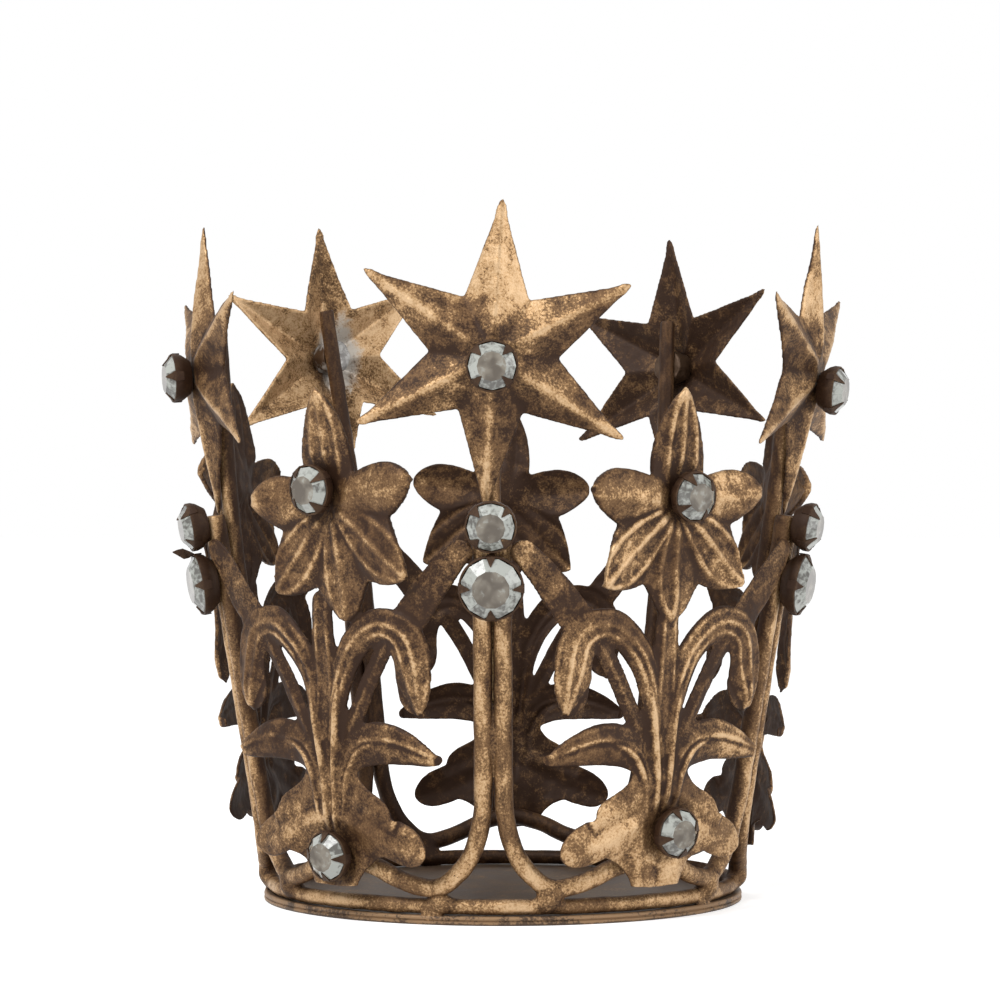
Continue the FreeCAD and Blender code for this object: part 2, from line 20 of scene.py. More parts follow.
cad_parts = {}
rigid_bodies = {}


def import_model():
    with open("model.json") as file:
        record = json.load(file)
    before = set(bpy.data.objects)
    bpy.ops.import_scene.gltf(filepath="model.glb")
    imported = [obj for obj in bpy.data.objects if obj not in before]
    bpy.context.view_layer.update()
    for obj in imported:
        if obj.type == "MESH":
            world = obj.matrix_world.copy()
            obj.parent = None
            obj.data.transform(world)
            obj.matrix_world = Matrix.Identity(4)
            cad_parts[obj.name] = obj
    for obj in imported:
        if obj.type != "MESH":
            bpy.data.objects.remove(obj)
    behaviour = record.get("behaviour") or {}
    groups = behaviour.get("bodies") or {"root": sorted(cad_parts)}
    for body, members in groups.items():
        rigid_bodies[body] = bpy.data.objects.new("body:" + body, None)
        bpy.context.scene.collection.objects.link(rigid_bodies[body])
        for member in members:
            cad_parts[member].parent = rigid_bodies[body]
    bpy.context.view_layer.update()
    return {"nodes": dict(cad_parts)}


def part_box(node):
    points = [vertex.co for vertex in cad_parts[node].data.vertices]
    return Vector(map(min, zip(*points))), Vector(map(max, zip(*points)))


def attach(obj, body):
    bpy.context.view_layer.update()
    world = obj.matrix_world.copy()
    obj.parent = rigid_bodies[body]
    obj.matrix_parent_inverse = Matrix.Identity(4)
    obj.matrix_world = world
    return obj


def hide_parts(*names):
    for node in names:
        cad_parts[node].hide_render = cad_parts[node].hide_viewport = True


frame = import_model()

LOG = logging.getLogger("crown")
MM = 0.001
BODY = "root"
BAYS = 5
BAY_ANGLE = 2 * math.pi / BAYS
WELD = 0.002 * MM                   # corners nearer than this are one
APART = (7.3, 3.1, 1.7)             # how far one seed lies from the next in the noise
LINE_STEPS = 90                     # in which a leaf's middle line is drawn
NARROWEST = 0.3                     # half width of a leaf, at least
FULL_CROWN, FULL_RIB = 2.2, 1.6     # half widths from which its crown and its ribs are at full height
CREASE = 0.5                        # half width of the crease in its middle
LEAF_END = 1.15                     # where a leaf ends, in half widths
OUTSIDE = -1.0                      # height where a leaf has no say
Color = tuple[float, float, float]
Span = tuple[float, float]          # where a rise starts and where it ends
Points = np.ndarray                 # a row of numbers for each point


class Slot(Enum):
    """The record's material slots."""

    FLOOR = "floor_sheet"
    WIRE = "gilt_wire"
    SPRAY = "gilt_spray"
    STAR = "gilt_star"
    CUP = "stone_cup"
    GLASS = "cut_glass"
    BRAZE = "braze"
    SOLDER = "solder"


# ---------------------------------------------------------------- shader maths


class Value:
    """A socket that can be used in sums, so that a shader reads like a formula."""

    def __init__(self, shader: "Shader", socket: bpy.types.NodeSocket) -> None:
        """Wraps a socket of a shader."""
        self.shader = shader
        self.socket = socket

    def _math(self, operation: str, *others: "Value | float") -> "Value":
        """Adds a Math node that takes this value first."""
        return self.shader.node("ShaderNodeMath", {"operation": operation}, (self, *others))

    def __add__(self, other: "Value | float") -> "Value":
        """This plus other."""
        return self._math("ADD", other)

    def __sub__(self, other: "Value | float") -> "Value":
        """This minus other."""
        return self._math("SUBTRACT", other)

    def __rsub__(self, other: float) -> "Value":
        """Other minus this."""
        return self.shader.node("ShaderNodeMath", {"operation": "SUBTRACT"}, (other, self))

    def __mul__(self, other: "Value | float") -> "Value":
        """This times other."""
        return self._math("MULTIPLY", other)

    def swing(self, weight: float) -> "Value":
        """This, taken as lying between 0 and 1, moved about 0 and times a weight."""
        return (self - 0.5) * weight

    def max(self, other: "Value | float") -> "Value":
        """The larger of this and other."""
        return self._math("MAXIMUM", other)

    __radd__ = __add__
    __rmul__ = __mul__


class Shader:
    """A node material or world under construction."""

    def __init__(self, owner: bpy.types.Material | bpy.types.World) -> None:
        """Starts with no nodes.

        Args:
            owner: the material or world that the nodes belong to.
        """
        owner.use_nodes = True
        self.tree = owner.node_tree
        self.tree.nodes.clear()

    def node(self, kind: str, settings: dict | None = None, inputs: tuple | dict = (),
             output: int | str = 0) -> Value:
        """Adds one node.

        Args:
            kind: the node's type.
            settings: its own options, set first.
            inputs: values or links of its sockets, by order or by name.
            output: which of its outputs to return.

        Returns:
            The chosen output.
        """
        node = self.tree.nodes.new(kind)
        for name, value in (settings or {}).items():
            setattr(node, name, value)
        pairs = inputs.items() if isinstance(inputs, dict) else enumerate(inputs)
        for key, value in pairs:
            if isinstance(value, Value):
                self.tree.links.new(value.socket, node.inputs[key])
            else:
                node.inputs[key].default_value = value
        return Value(self, node.outputs[output])

    def place(self, upright: float = 1.0) -> Value:
        """Object coordinates in metres, with a pattern drawn out that many times along Z."""
        place = self.node("ShaderNodeTexCoord", output="Object")
        if upright == 1.0:
            return place
        return self.node("ShaderNodeVectorMath", {"operation": "MULTIPLY"}, (place, (1.0, 1.0, 1 / upright)))

    def attribute(self, name: str) -> Value:
        """A number that the mesh carries at each point."""
        return self.node("ShaderNodeAttribute", {"attribute_name": name}, output="Fac")

    def grain(self, size: float, detail: float = 3.0, roughness: float = 0.6, distortion: float = 0.0,
              upright: float = 1.0) -> Value:
        """Cloudy noise from 0 to 1.

        Args:
            size: width of one cloud in millimetres.
            detail: how many finer layers it has.
            roughness: how strong the finer layers are.
            distortion: how far the clouds are pulled about.
            upright: how many times longer they are along Z.

        Returns:
            The noise.
        """
        settings = {"noise_dimensions": "3D", "normalize": True}
        inputs = {
            "Vector": self.place(upright), "Scale": 1 / (size * MM), "Detail": detail,
            "Roughness": roughness, "Distortion": distortion,
        }
        return self.node("ShaderNodeTexNoise", settings, inputs)

    def step(self, value: Value, low: float, high: float) -> Value:
        """Rises smoothly from 0 at low to 1 at high."""
        settings = {"interpolation_type": "SMOOTHSTEP", "clamp": True}
        return self.node("ShaderNodeMapRange", settings, {"Value": value, "From Min": low, "From Max": high})

    def mix(self, share: Value | float, first: Value | Color, second: Value | Color) -> Value:
        """Blends two colours."""
        colors = [c if isinstance(c, Value) else (*c, 1.0) for c in (first, second)]
        return self.node("ShaderNodeMix", {"data_type": "RGBA"}, {0: share, 6: colors[0], 7: colors[1]}, 2)

    def bump(self, height: Value, distance: float, strength: float = 1.0) -> Value:
        """Turns a height from 0 to 1 into a bent normal, with the full height in millimetres."""
        inputs = {"Strength": strength, "Distance": distance * MM, "Height": height}
        return self.node("ShaderNodeBump", {}, inputs)

    def seen(self) -> Value:
        """1 where the camera looks, also by mirrors and through glass, and 0 where light is gathered."""
        rays = [self.node("ShaderNodeLightPath", output=name)
                for name in ("Is Camera Ray", "Is Glossy Ray", "Is Transmission Ray")]
        return rays[0].max(rays[1]).max(rays[2])

    def finish(self, surface: Value) -> None:
        """Ends the shader at its output."""
        of_world = isinstance(self.tree.id_data, bpy.types.World)
        output = self.tree.nodes.new("ShaderNodeOutputWorld" if of_world else "ShaderNodeOutputMaterial")
        self.tree.links.new(surface.socket, output.inputs["Surface"])


# ---------------------------------------------------------------- finishes

Sockets = dict[str, Value | float | tuple]      # values and links of the Principled shader, by name


class Finish(ABC):
    """A finish that becomes a node material."""

    name: str

    @abstractmethod
    def sockets(self, shader: Shader) -> Sockets:
        """Works out what the Principled shader is given.

        Args:
            shader: the material's shader, with no nodes yet.

        Returns:
            Values and links of its sockets, by name.
        """

    def material(self) -> bpy.types.Material:
        """Builds the node material.

        Returns:
            The material.
        """
        made = bpy.data.materials.new(self.name)
        shader = Shader(made)
        shader.finish(shader.node("ShaderNodeBsdfPrincipled", {}, self.sockets(shader)))
        return made


@dataclass(frozen=True)
class Gilding(Finish):
    """Dark brown patina with antique gold dry-brushed over whatever stands proud.

    The mesh carries "raised", from 0 in a hollow to 1 on a ridge, "outward", which is 1 where the
    surface faces away from the crown's axis, and on a star "tinned", which is 1 under smeared solder.
    The gold is thicker and the brown lighter where the surface faces out. This is partly rubbing, which
    spared the backs, and partly painted light, with painted shade on the sides of round wires.
    """

    name: str
    cover: float = -0.44            # more gold everywhere
    relief: float = 0.55            # how strongly the gold keeps to ridges
    # facing weighs rubbing and painted light on faces turned out against painted shade on faces turned in
    facing: float = 0.45            # how strongly it keeps to the outside
    blotch: float = 1.0             # how strongly it comes and goes over 2 to 4 mm
    patch: float = 0.8              # how strongly it comes and goes over 10 mm
    speckle: float = 0.85           # how broken its edge is
    upright: float = 1.0            # how many times longer its streaks are along Z
    gilt: Span = (-0.10, 0.24)      # amounts between which gold starts and covers
    rubbed: Span = (-0.60, 0.06)    # the same for the haze round the gold
    tone: Span = (0.30, 0.66)       # from dark to brown, under the gold
    shine: Span = (0.25, 0.85)      # from dull gold to light gold
    smear: Span = (0.32, 0.80)      # from bare metal to solder
    dark: Color = (0.034, 0.0150, 0.0070)
    brown: Color = (0.110, 0.055, 0.023)
    haze: Color = (0.225, 0.127, 0.057)
    gold: Color = (0.375, 0.222, 0.100)
    light: Color = (0.59, 0.405, 0.235)
    tin: Color = (0.44, 0.42, 0.385)

    def sockets(self, shader: Shader) -> Sockets:
        """Gold, speckled at its edge, over brown in two tones, with solder over both."""
        fine = shader.grain(0.42, 2.0, 0.75)
        middle = shader.grain(2.6, 4.0, 0.62, 0.5, self.upright)
        broad = shader.grain(12.0, 2.0, 0.5)
        raised, outward, tinned = (shader.attribute(name) for name in ("raised", "outward", "tinned"))
        # gold follows ridges, which is rubbing, and faces turned out, which is partly rubbing and partly
        # painted light
        amount = raised.swing(2 * self.relief) + (outward - 0.85) * self.facing + self.cover
        amount = amount + middle.swing(2 * self.blotch) + broad.swing(2 * self.patch)
        broken = amount + fine.swing(2 * self.speckle)
        gilt = shader.step(broken, *self.gilt)
        # the brown is lighter on ridges, where the patina is thin, and on faces turned out, which is painted
        # light
        tone = middle.swing(1.1) + fine.swing(0.5) + outward.swing(0.15) + raised.swing(0.7) + 0.40
        under = shader.mix(shader.step(tone, *self.tone), self.dark, self.brown)
        under = shader.mix(shader.step(broken, *self.rubbed) * 0.70, under, self.haze)
        shine = fine.swing(1.4) + amount * 0.7 + 0.28
        metal = shader.mix(shader.step(shine, *self.shine), self.gold, self.light)
        solder = shader.step(tinned + middle.swing(1.3) + fine.swing(0.5), *self.smear)
        return {
            "Base Color": shader.mix(solder * 0.85, shader.mix(gilt, under, metal), self.tin),
            "Metallic": gilt * 0.45 + 0.25,
            "Roughness": 0.56 - gilt * 0.10 + fine.swing(0.3),
            "Specular IOR Level": 0.24,
            "Normal": shader.bump(middle * 0.4 + fine * 0.4 + gilt * 0.2, 0.14, 0.6),
        }


@dataclass(frozen=True)
class FloorBrown(Finish):
    """Smooth brown sheet with a dull polish, scuffed to a greyer brown."""

    name: str = "floor sheet"
    base: Color = (0.080, 0.051, 0.034)
    scuff: Color = (0.145, 0.098, 0.063)
    rub: Color = (0.30, 0.185, 0.100)

    def sockets(self, shader: Shader) -> Sockets:
        """Clouds of scuffing, and gold rubbed on where the rim stands out."""
        cloud = shader.grain(7.0, 4.0, 0.6, 0.6)
        fine = shader.grain(0.5, 2.0)
        mottle = cloud * 0.7 + fine * 0.3
        color = shader.mix(shader.step(mottle, 0.40, 0.62), self.base, self.scuff)
        raised = shader.attribute("raised")
        worn = shader.step(raised.swing(1.2) + cloud.swing(1.6) + fine.swing(1.2), 0.05, 0.35)
        return {
            "Base Color": shader.mix(worn, color, self.rub),
            "Metallic": 0.20,
            "Roughness": cloud * 0.3 + 0.34,
            "Specular IOR Level": 0.20,
            "Normal": shader.bump(mottle, 0.10, 0.4),
        }


@dataclass(frozen=True)
class DullSolder(Finish):
    """Soft solder, dull and pitted: grey where the mesh carries "tinned", and browned elsewhere."""

    name: str = "solder"
    brown: Color = (0.075, 0.042, 0.022)
    base: Color = (0.20, 0.19, 0.18)
    bright: Color = (0.42, 0.41, 0.39)

    def sockets(self, shader: Shader) -> Sockets:
        """Grey clouds that break up into brown."""
        cloud = shader.grain(1.4, 4.0, 0.65)
        grey = shader.mix(shader.step(cloud, 0.4, 0.62), self.base, self.bright)
        bare = shader.step(shader.attribute("tinned") + (cloud - 0.5), 0.3, 0.5)
        return {
            "Base Color": shader.mix(bare, self.brown, grey),
            "Metallic": 0.5,
            "Roughness": cloud * 0.3 + 0.35,
            "Normal": shader.bump(cloud, 0.2, 0.6),
        }


@dataclass(frozen=True)
class OldGlass(Finish):
    """Cut glass over a dulled foil: a smoky table inside a ring of pale facets.

    The mesh carries "facet" on each face: 0 on the table, and on the bevel from 0.5, dull, to 1, bright.
    The pale of the bevel's facets and of patches on the table is painted reflection of the white studio.
    """

    name: str = "cut glass"
    smoky: Color = (0.082, 0.062, 0.041)
    clear: Color = (0.210, 0.181, 0.138)
    dull: Color = (0.105, 0.100, 0.088)
    pale: Color = (0.40, 0.415, 0.38)

    def sockets(self, shader: Shader) -> Sockets:
        """The foil seen through the table with painted reflections in pale patches, and the light that each
        facet of the bevel catches, painted from dull to pale.
        """
        cloud = shader.grain(3.2, 2.0, 0.5, 0.3)
        streak = shader.grain(0.9, 2.0, 0.5, 0.3)
        facet = shader.attribute("facet")
        # pale patches on the table: painted reflection
        glint = shader.step(cloud * 0.5 + streak * 0.5, 0.54, 0.66)
        depth = shader.mix(shader.step(cloud, 0.40, 0.66), self.smoky, self.clear)
        depth = shader.mix(glint * 0.45, depth, self.pale)
        # how bright each facet is: painted reflection
        light = facet.swing(2.4) + streak.swing(2.4) + cloud.swing(1.2) - 0.1
        rim = shader.mix(shader.step(light, 0.0, 0.9), self.dull, self.pale)
        return {
            "Base Color": shader.mix(shader.step(facet, 0.2, 0.4), depth, rim),
            "Metallic": 0.0, "Roughness": 0.07, "IOR": 1.52, "Coat Weight": 0.3, "Coat Roughness": 0.03,
            "Normal": shader.bump(cloud * 0.6 + streak * 0.4, 0.03, 0.2),
        }


@dataclass(frozen=True)
class PaleFloor(Finish):
    """The studio's floor. It glows only where the camera looks, so that its glow lights nothing."""

    name: str = "pale floor"

    def sockets(self, shader: Shader) -> Sockets:
        """Pale grey, lifted close to white for the camera."""
        return {
            "Base Color": (0.86, 0.86, 0.86, 1.0), "Roughness": 0.9, "Specular IOR Level": 0.0,
            "Emission Color": shader.mix(shader.seen(), (0.0, 0.0, 0.0), (0.52, 0.52, 0.52)),
            "Emission Strength": 1.0,
        }


# ---------------------------------------------------------------- shapes and skins


def linked(name: str, shape: bmesh.types.BMesh) -> bpy.types.Object:
    """Makes a shape into an object at the origin and frees the shape.

    Args:
        name: the object's name, and its mesh's.
        shape: the shape, in metres.

    Returns:
        The linked object.
    """
    mesh = bpy.data.meshes.new(name)
    shape.to_mesh(mesh)
    shape.free()
    thing = bpy.data.objects.new(name, mesh)
    bpy.context.scene.collection.objects.link(thing)
    return thing


def pour(shape: bmesh.types.BMesh, whole: bmesh.types.BMesh, place: Matrix | None = None) -> None:
    """Adds a shape to a larger one and frees it.

    Args:
        shape: the shape.
        whole: what it is added to.
        place: how it is moved first.
    """
    if place is not None:
        shape.transform(place)
    part = bpy.data.meshes.new("part")
    shape.to_mesh(part)
    shape.free()
    whole.from_mesh(part)
    bpy.data.meshes.remove(part)


def solid(node: str) -> bmesh.types.BMesh:
    """A construction node as a closed shape, in which corners that coincide are one."""
    shape = bmesh.new()
    shape.from_mesh(frame["nodes"][node].data)
    bmesh.ops.remove_doubles(shape, verts=shape.verts, dist=WELD)
    return shape


def islands(node: str) -> list[Points]:
    """The separate solids of a node.

    Args:
        node: the construction node.

    Returns:
        The corners of each solid, in millimetres.
    """
    shape = solid(node)
    seen = set()
    found = []
    for start in sorted(shape.verts, key=lambda vert: vert.index):
        if start in seen:
            continue
        island, edge = [], [start]
        while edge:
            vert = edge.pop()
            if vert in seen:
                continue
            seen.add(vert)
            island.append(vert)
            edge.extend(link.other_vert(vert) for link in vert.link_edges)
        found.append(np.array([tuple(vert.co) for vert in island]) / MM)
    shape.free()
    return found


def middles(node: str) -> list[Points]:
    """Middles of the separate solids of a node, in millimetres."""
    return [(corners.min(axis=0) + corners.max(axis=0)) / 2 for corners in islands(node)]


def read(items: bpy.types.bpy_prop_collection, what: str, width: int, kind: type = float) -> Points:
    """Reads a property of every vertex or edge of a mesh.

    Args:
        items: the vertices or edges.
        what: the property.
        width: how many numbers it has.
        kind: the type of the numbers.

    Returns:
        A row for each item.
    """
    found = np.empty(len(items) * width, dtype=kind)
    items.foreach_get(what, found)
    return found.reshape(-1, width)


def ramp(values: Points, start: float, end: float) -> Points:
    """Rises evenly from 0 at start to 1 at end, which may lie below start."""
    return np.clip((values - start) / (end - start), 0, 1)


def clouds(points: Points, size: float, shift: tuple[float, ...]) -> Points:
    """Soft noise at points, from -1 to 1, in clouds of a size, read from a shifted place."""
    start = Vector(shift)
    return np.array([noise.noise(Vector(point) / size + start) for point in points])


def thin_axis(points: Points, middle: Points) -> Points:
    """The direction in which points about a middle spread least, on the side away from the crown's axis."""
    axis = np.linalg.svd(points - middle, full_matrices=False)[2][2]
    return axis if axis @ np.array([middle[0], middle[1], 0]) > 0 else -axis


def level_axes(axis: Points) -> tuple[Points, Points]:
    """Right and up on a plane that an axis stands on."""
    right = np.cross([0, 0, 1], axis)
    right /= np.linalg.norm(right)
    return right, np.cross(axis, right)


class Skin:
    """The surface of one piece as points in millimetres, with what they touch."""

    def __init__(self, thing: bpy.types.Object) -> None:
        """Reads a mesh object.

        Args:
            thing: a mesh object at the origin.
        """
        self.thing = thing
        self.points = read(thing.data.vertices, "co", 3) / MM
        self.edges = read(thing.data.edges, "vertices", 2, np.int64)
        self.valence = np.bincount(self.edges.ravel(), minlength=len(self.points)).astype(float)
        self.valence[self.valence == 0] = 1

    def near(self, values: Points) -> Points:
        """Works out the mean of each point's neighbours.

        Args:
            values: one number or several at each point.

        Returns:
            The means, in the same form.
        """
        wide = values.reshape(len(values), -1)
        a, b = self.edges[:, 0], self.edges[:, 1]
        sums = np.empty_like(wide)
        for column in range(wide.shape[1]):
            there = np.bincount(a, wide[b, column], minlength=len(wide))
            back = np.bincount(b, wide[a, column], minlength=len(wide))
            sums[:, column] = (there + back) / self.valence
        return sums.reshape(values.shape)

    def smooth(self, values: Points, times: int, share: float = 0.6) -> Points:
        """Evens values out over the surface.

        Args:
            values: one number or several at each point.
            times: how many rounds.
            share: how far each value goes towards its neighbours' mean in one round.

        Returns:
            The evened values.
        """
        for _ in range(times):
            values = values + (self.near(values) - values) * share
        return values

    def normals(self) -> Points:
        """Outward directions at the points, as they stand now."""
        self.write()
        return read(self.thing.data.vertices, "normal", 3)

    def write(self) -> None:
        """Puts the points back into the mesh."""
        self.thing.data.vertices.foreach_set("co", (self.points * MM).ravel())
        self.thing.data.update()

    def carry(self, name: str, values: Points) -> None:
        """Stores a number at each point for the finish to read."""
        layer = self.thing.data.attributes.new(name, "FLOAT", "POINT")
        layer.data.foreach_set("value", values.astype(np.float32))

    def hammer(self, height: float, size: float, seed: float) -> None:
        """Moves the points along their normals by soft noise.

        Args:
            height: the most that a point moves, in millimetres.
            size: the width of one dent, in millimetres.
            seed: where in the noise this piece lies.
        """
        shift = tuple(seed * step for step in APART)
        self.points = self.points + self.normals() * (clouds(self.points, size, shift) * height)[:, None]

    def outward(self, normals: Points) -> Points:
        """How far the surface faces away from the crown's axis, from 0 to 1."""
        radial = self.points[:, :2] / np.maximum(np.hypot(*self.points[:, :2].T), 1e-6)[:, None]
        return (normals[:, :2] * radial).sum(axis=1) * 0.5 + 0.5

    def wear(self, reach: int, full: float, extra: Points | float = 0.0) -> None:
        """Writes the points back, works out what stands proud and what faces out, and stores both.

        Args:
            reach: how many rounds of smoothing the relief is measured against.
            full: the height, in millimetres, that counts as fully proud.
            extra: more of it that the caller knows of, from -1 to 1.
        """
        normals = self.normals()
        outward = self.outward(normals)
        proud = ((self.points - self.smooth(self.points, reach)) * normals).sum(axis=1) / full
        proud = np.clip(proud, -1, 0.8) * np.clip(outward * 2.2 - 0.9, 0.25, 1)
        self.carry("raised", np.clip((self.smooth(proud, 1) + extra) * 0.5 + 0.5, 0, 1))
        self.carry("outward", outward)


def even_skin(name: str, shape: bmesh.types.BMesh, size: float) -> Skin:
    """Makes a closed shape into a piece with an even skin of small quads.

    Args:
        name: the piece's name.
        shape: the shape, in metres, which is freed.
        size: the width of one quad, in millimetres.

    Returns:
        The skin of the linked piece.
    """
    thing = linked(name, shape)
    remesh = thing.modifiers.new("skin", "REMESH")
    remesh.mode = "VOXEL"
    remesh.voxel_size = size * MM
    bpy.context.view_layer.update()
    ready = thing.evaluated_get(bpy.context.evaluated_depsgraph_get())
    mesh = bpy.data.meshes.new_from_object(ready)
    thing.modifiers.clear()
    thing.data = mesh
    return Skin(thing)


def dress(thing: bpy.types.Object, material: bpy.types.Material, node: str) -> None:
    """Gives a new piece its finish and puts it in the place of its construction node.

    Args:
        thing: the piece.
        material: its finish.
        node: the construction node that it stands for.
    """
    thing.data.materials.clear()
    thing.data.materials.append(material)
    thing.data.shade_smooth()
    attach(thing, BODY)
    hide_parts(node)
    LOG.info("%s: %d faces", thing.name, len(thing.data.polygons))


# ---------------------------------------------------------------- sprays


def smooth_curve(knots: Points, values: Points, steps: Points) -> Points:
    """A smooth curve through values, by cubic pieces with shared slopes.

    Args:
        knots: where the values stand, rising.
        values: the values.
        steps: where to read the curve.

    Returns:
        The values there.
    """
    slopes = np.gradient(values, knots)
    i = np.clip(np.searchsorted(knots, steps) - 1, 0, len(knots) - 2)
    span = knots[i + 1] - knots[i]
    t = (steps - knots[i]) / span
    t2, t3 = t * t, t * t * t
    first = (2 * t3 - 3 * t2 + 1) * values[i] + (t3 - 2 * t2 + t) * span * slopes[i]
    second = (3 * t2 - 2 * t3) * values[i + 1] + (t3 - t2) * span * slopes[i + 1]
    return first + second


@dataclass(frozen=True)
class Leaf:
    """A leaf as it is pressed: its middle line, its widths, and how it stands out.

    Places are (along the bay, height) on a spray, or (right, up) from the middle of a lily.
    """

    line: tuple[tuple[float, float], ...]
    widths: tuple[float, ...]
    crown: float = 1.0              # how far the middle stands out
    ribs: tuple[float, ...] = ()    # places across the leaf, from -1 at one edge to 1 at the other
    rib_height: float = 0.2
    rib_width: float = 0.4
    fold: float = 0.0               # how far the middle line is creased in
    tip: float = 0.0                # how far the end bends out
    ending: float = 99.0            # how suddenly it ends, where it runs under another
    paired: bool = True             # the same leaf stands on the other side
    gold: float = 0.0               # how much more it is rubbed
    fade: float = 0.0               # how much more its end is rubbed than its start

    def relief(self, across: Points, up: Points, veins: float) -> tuple[Points, Points]:
        """How far the sheet stands out under this leaf, and how much it is rubbed.

        Args:
            across: first coordinates of the points.
            up: second coordinates.
            veins: how clearly the ribs are pressed.

        Returns:
            Heights in millimetres, which are OUTSIDE away from the leaf, and the rubbing.
        """
        middle, half, steps = self._drawn()
        ahead = np.gradient(middle, axis=0)
        ahead /= np.linalg.norm(ahead, axis=1)[:, None]
        x = np.abs(across) if self.paired else across
        heights = np.full(len(x), OUTSIDE)
        rubs = np.full(len(x), self.gold)
        reach = half.max() + 2
        low, high = middle.min(axis=0) - reach, middle.max(axis=0) + reach
        close = np.nonzero((x > low[0]) & (x < high[0]) & (up > low[1]) & (up < high[1]))[0]
        if len(close) == 0:
            return heights, rubs
        places = np.stack([x[close], up[close]], axis=1)
        gaps = np.linalg.norm(places[:, None, :] - middle[None, :, :], axis=2)
        best = (gaps / half[None, :]).argmin(axis=1)
        offset = places - middle[best]
        leftward = ahead[best, 0] * offset[:, 1] - ahead[best, 1] * offset[:, 0]
        out = np.hypot(offset[:, 0], offset[:, 1]) / half[best]
        side = np.sign(leftward) * out
        heights[close] = self._height(out, side, half[best], steps[best], veins)
        rubs[close] += self.fade * (steps[best] - 0.5)
        return heights, rubs

    def _drawn(self) -> tuple[Points, Points, Points]:
        """The middle line and the half width in fine steps, and the steps, which run from 0 to 1."""
        knots = np.linspace(0, 1, len(self.line))
        steps = np.linspace(0, 1, LINE_STEPS)
        line = np.array(self.line)
        middle = np.stack([smooth_curve(knots, line[:, i], steps) for i in (0, 1)], axis=1)
        half = smooth_curve(knots, np.array(self.widths), steps) / 2
        return middle, np.maximum(half, NARROWEST), steps

    def _height(self, out: Points, side: Points, half: Points, along: Points, veins: float) -> Points:
        """How far points stand out.

        Args:
            out: distances from the middle line, where 1 is the edge.
            side: the same, signed by the side.
            half: half widths of the leaf there, in millimetres.
            along: places along the leaf, from 0 to 1.
            veins: how clearly the ribs are pressed.

        Returns:
            Heights in millimetres.
        """
        height = self.crown * np.clip(1 - out * out, 0, 1) * np.minimum(half / FULL_CROWN, 1.0)
        edge = ramp(out, 1, 2 / 3)
        for rib in self.ribs:
            gap = (side - rib) * half / self.rib_width
            height += veins * self.rib_height * np.exp(-gap * gap) * edge * np.minimum(half / FULL_RIB, 1.0)
        height -= self.fold * np.exp(-(side * half / CREASE) ** 2) * edge
        height += self.tip * along ** 3
        height *= np.clip((1 - along) * self.ending, 0, 1)
        height[out > LEAF_END] = OUTSIDE
        return height


@dataclass(frozen=True)
class SprayFit:
    """How one spray was fitted, and how much more or less gold its root, its leaves and its lily show."""

    lift: float = 0.0
    lily_side: float = 0.0          # how far its lily stands to the right
    lily_turn: float = 0.0          # in degrees
    root_gold: float = 0.1
    leaf_gold: float = 0.0
    lily_gold: float = 0.2
    veins: float = 0.8              # how clearly its lily's ribs are pressed


FITS = (
    SprayFit(lily_side=0.3, root_gold=0.62, leaf_gold=0.03, lily_gold=0.16, veins=1.0),
    SprayFit(lift=2.3, lily_side=-0.5, lily_turn=3.0, root_gold=0.2),
    SprayFit(lift=2.4, lily_side=2.4, lily_turn=3.0),
    SprayFit(lift=4.0, lily_turn=2.0, veins=0.9),
    SprayFit(lily_side=4.1, lily_turn=5.5, root_gold=0.15, leaf_gold=-0.09, lily_gold=0.05, veins=0.5),
)
LEAVES = (
    # stem
    Leaf(((0, 12), (0, 26), (0, 40), (0, 52), (0, 61)), (6, 10.5, 7.0, 5.6, 4.2), crown=0.7,
         ribs=(-0.5, 0.42), rib_height=0.3, rib_width=0.42, ending=5.0, paired=False),
    # thin leaf that points aside
    Leaf(((2, 25), (6, 31.8), (11.5, 33.4), (17, 32.6), (22.4, 30.8)), (4, 7.0, 7.8, 6.2, 2.2), crown=0.7,
         ribs=(0.82, 0.2), fold=0.2, tip=0.9, gold=-0.15),
    # lower half of the curl
    Leaf(((2, 28), (5.5, 36), (10, 45), (15, 53)), (3.2, 3.4, 3.4, 3.6), crown=0.3,
         ribs=(0.0,), rib_width=0.45, gold=-0.12),
    # drooping leaf
    Leaf(((1.2, 34), (3.2, 44), (7, 51.2), (12.6, 54.8), (17.6, 52.8), (19.2, 46.6), (20, 38.8)),
         (4.6, 5, 5.8, 6.6, 7.6, 7.2, 1.2), crown=0.8,
         ribs=(-0.45, 0.15, 0.82), rib_height=0.28, tip=0.5),
    # upper half of the curl, which reaches the post
    Leaf(((28.6, 69), (26.8, 66), (23.1, 61.6), (15, 52.4)), (4.2, 5.0, 5.9, 6), crown=0.3,
         ribs=(0.8,), rib_height=0.15, ending=3.0, gold=0.1),
    # root leaf: its upper lobe, its side lobe and its foot
    Leaf(((0.5, 27), (5, 23.8), (9.5, 21.4), (14.5, 19)), (8, 11, 11, 9), ribs=(-0.1,), rib_width=1.2),
    Leaf(((1.5, 20), (7, 17.8), (13, 15.2), (20.5, 13.3)), (7, 9, 9.5, 9),
         ribs=(-0.1,), rib_width=1.2, gold=0.1),
    Leaf(((0.5, 22), (3.0, 14), (3.0, 5)), (9, 8.5, 7), crown=0.9, ribs=(0.3,), rib_width=0.9),
    # two ridges that run down from the leaves into the root
    Leaf(((0.5, 13), (1.0, 21), (1.4, 29), (2.4, 38), (3.4, 44)), (1.4, 2.2, 2.4, 2.2, 1.4),
         crown=3.1, gold=0.1),
    Leaf(((1.4, 14), (3.0, 21), (4.0, 27), (6.6, 31.5), (11, 33.6)), (1.2, 2.0, 2.2, 2.0, 1.2), crown=2.9),
)
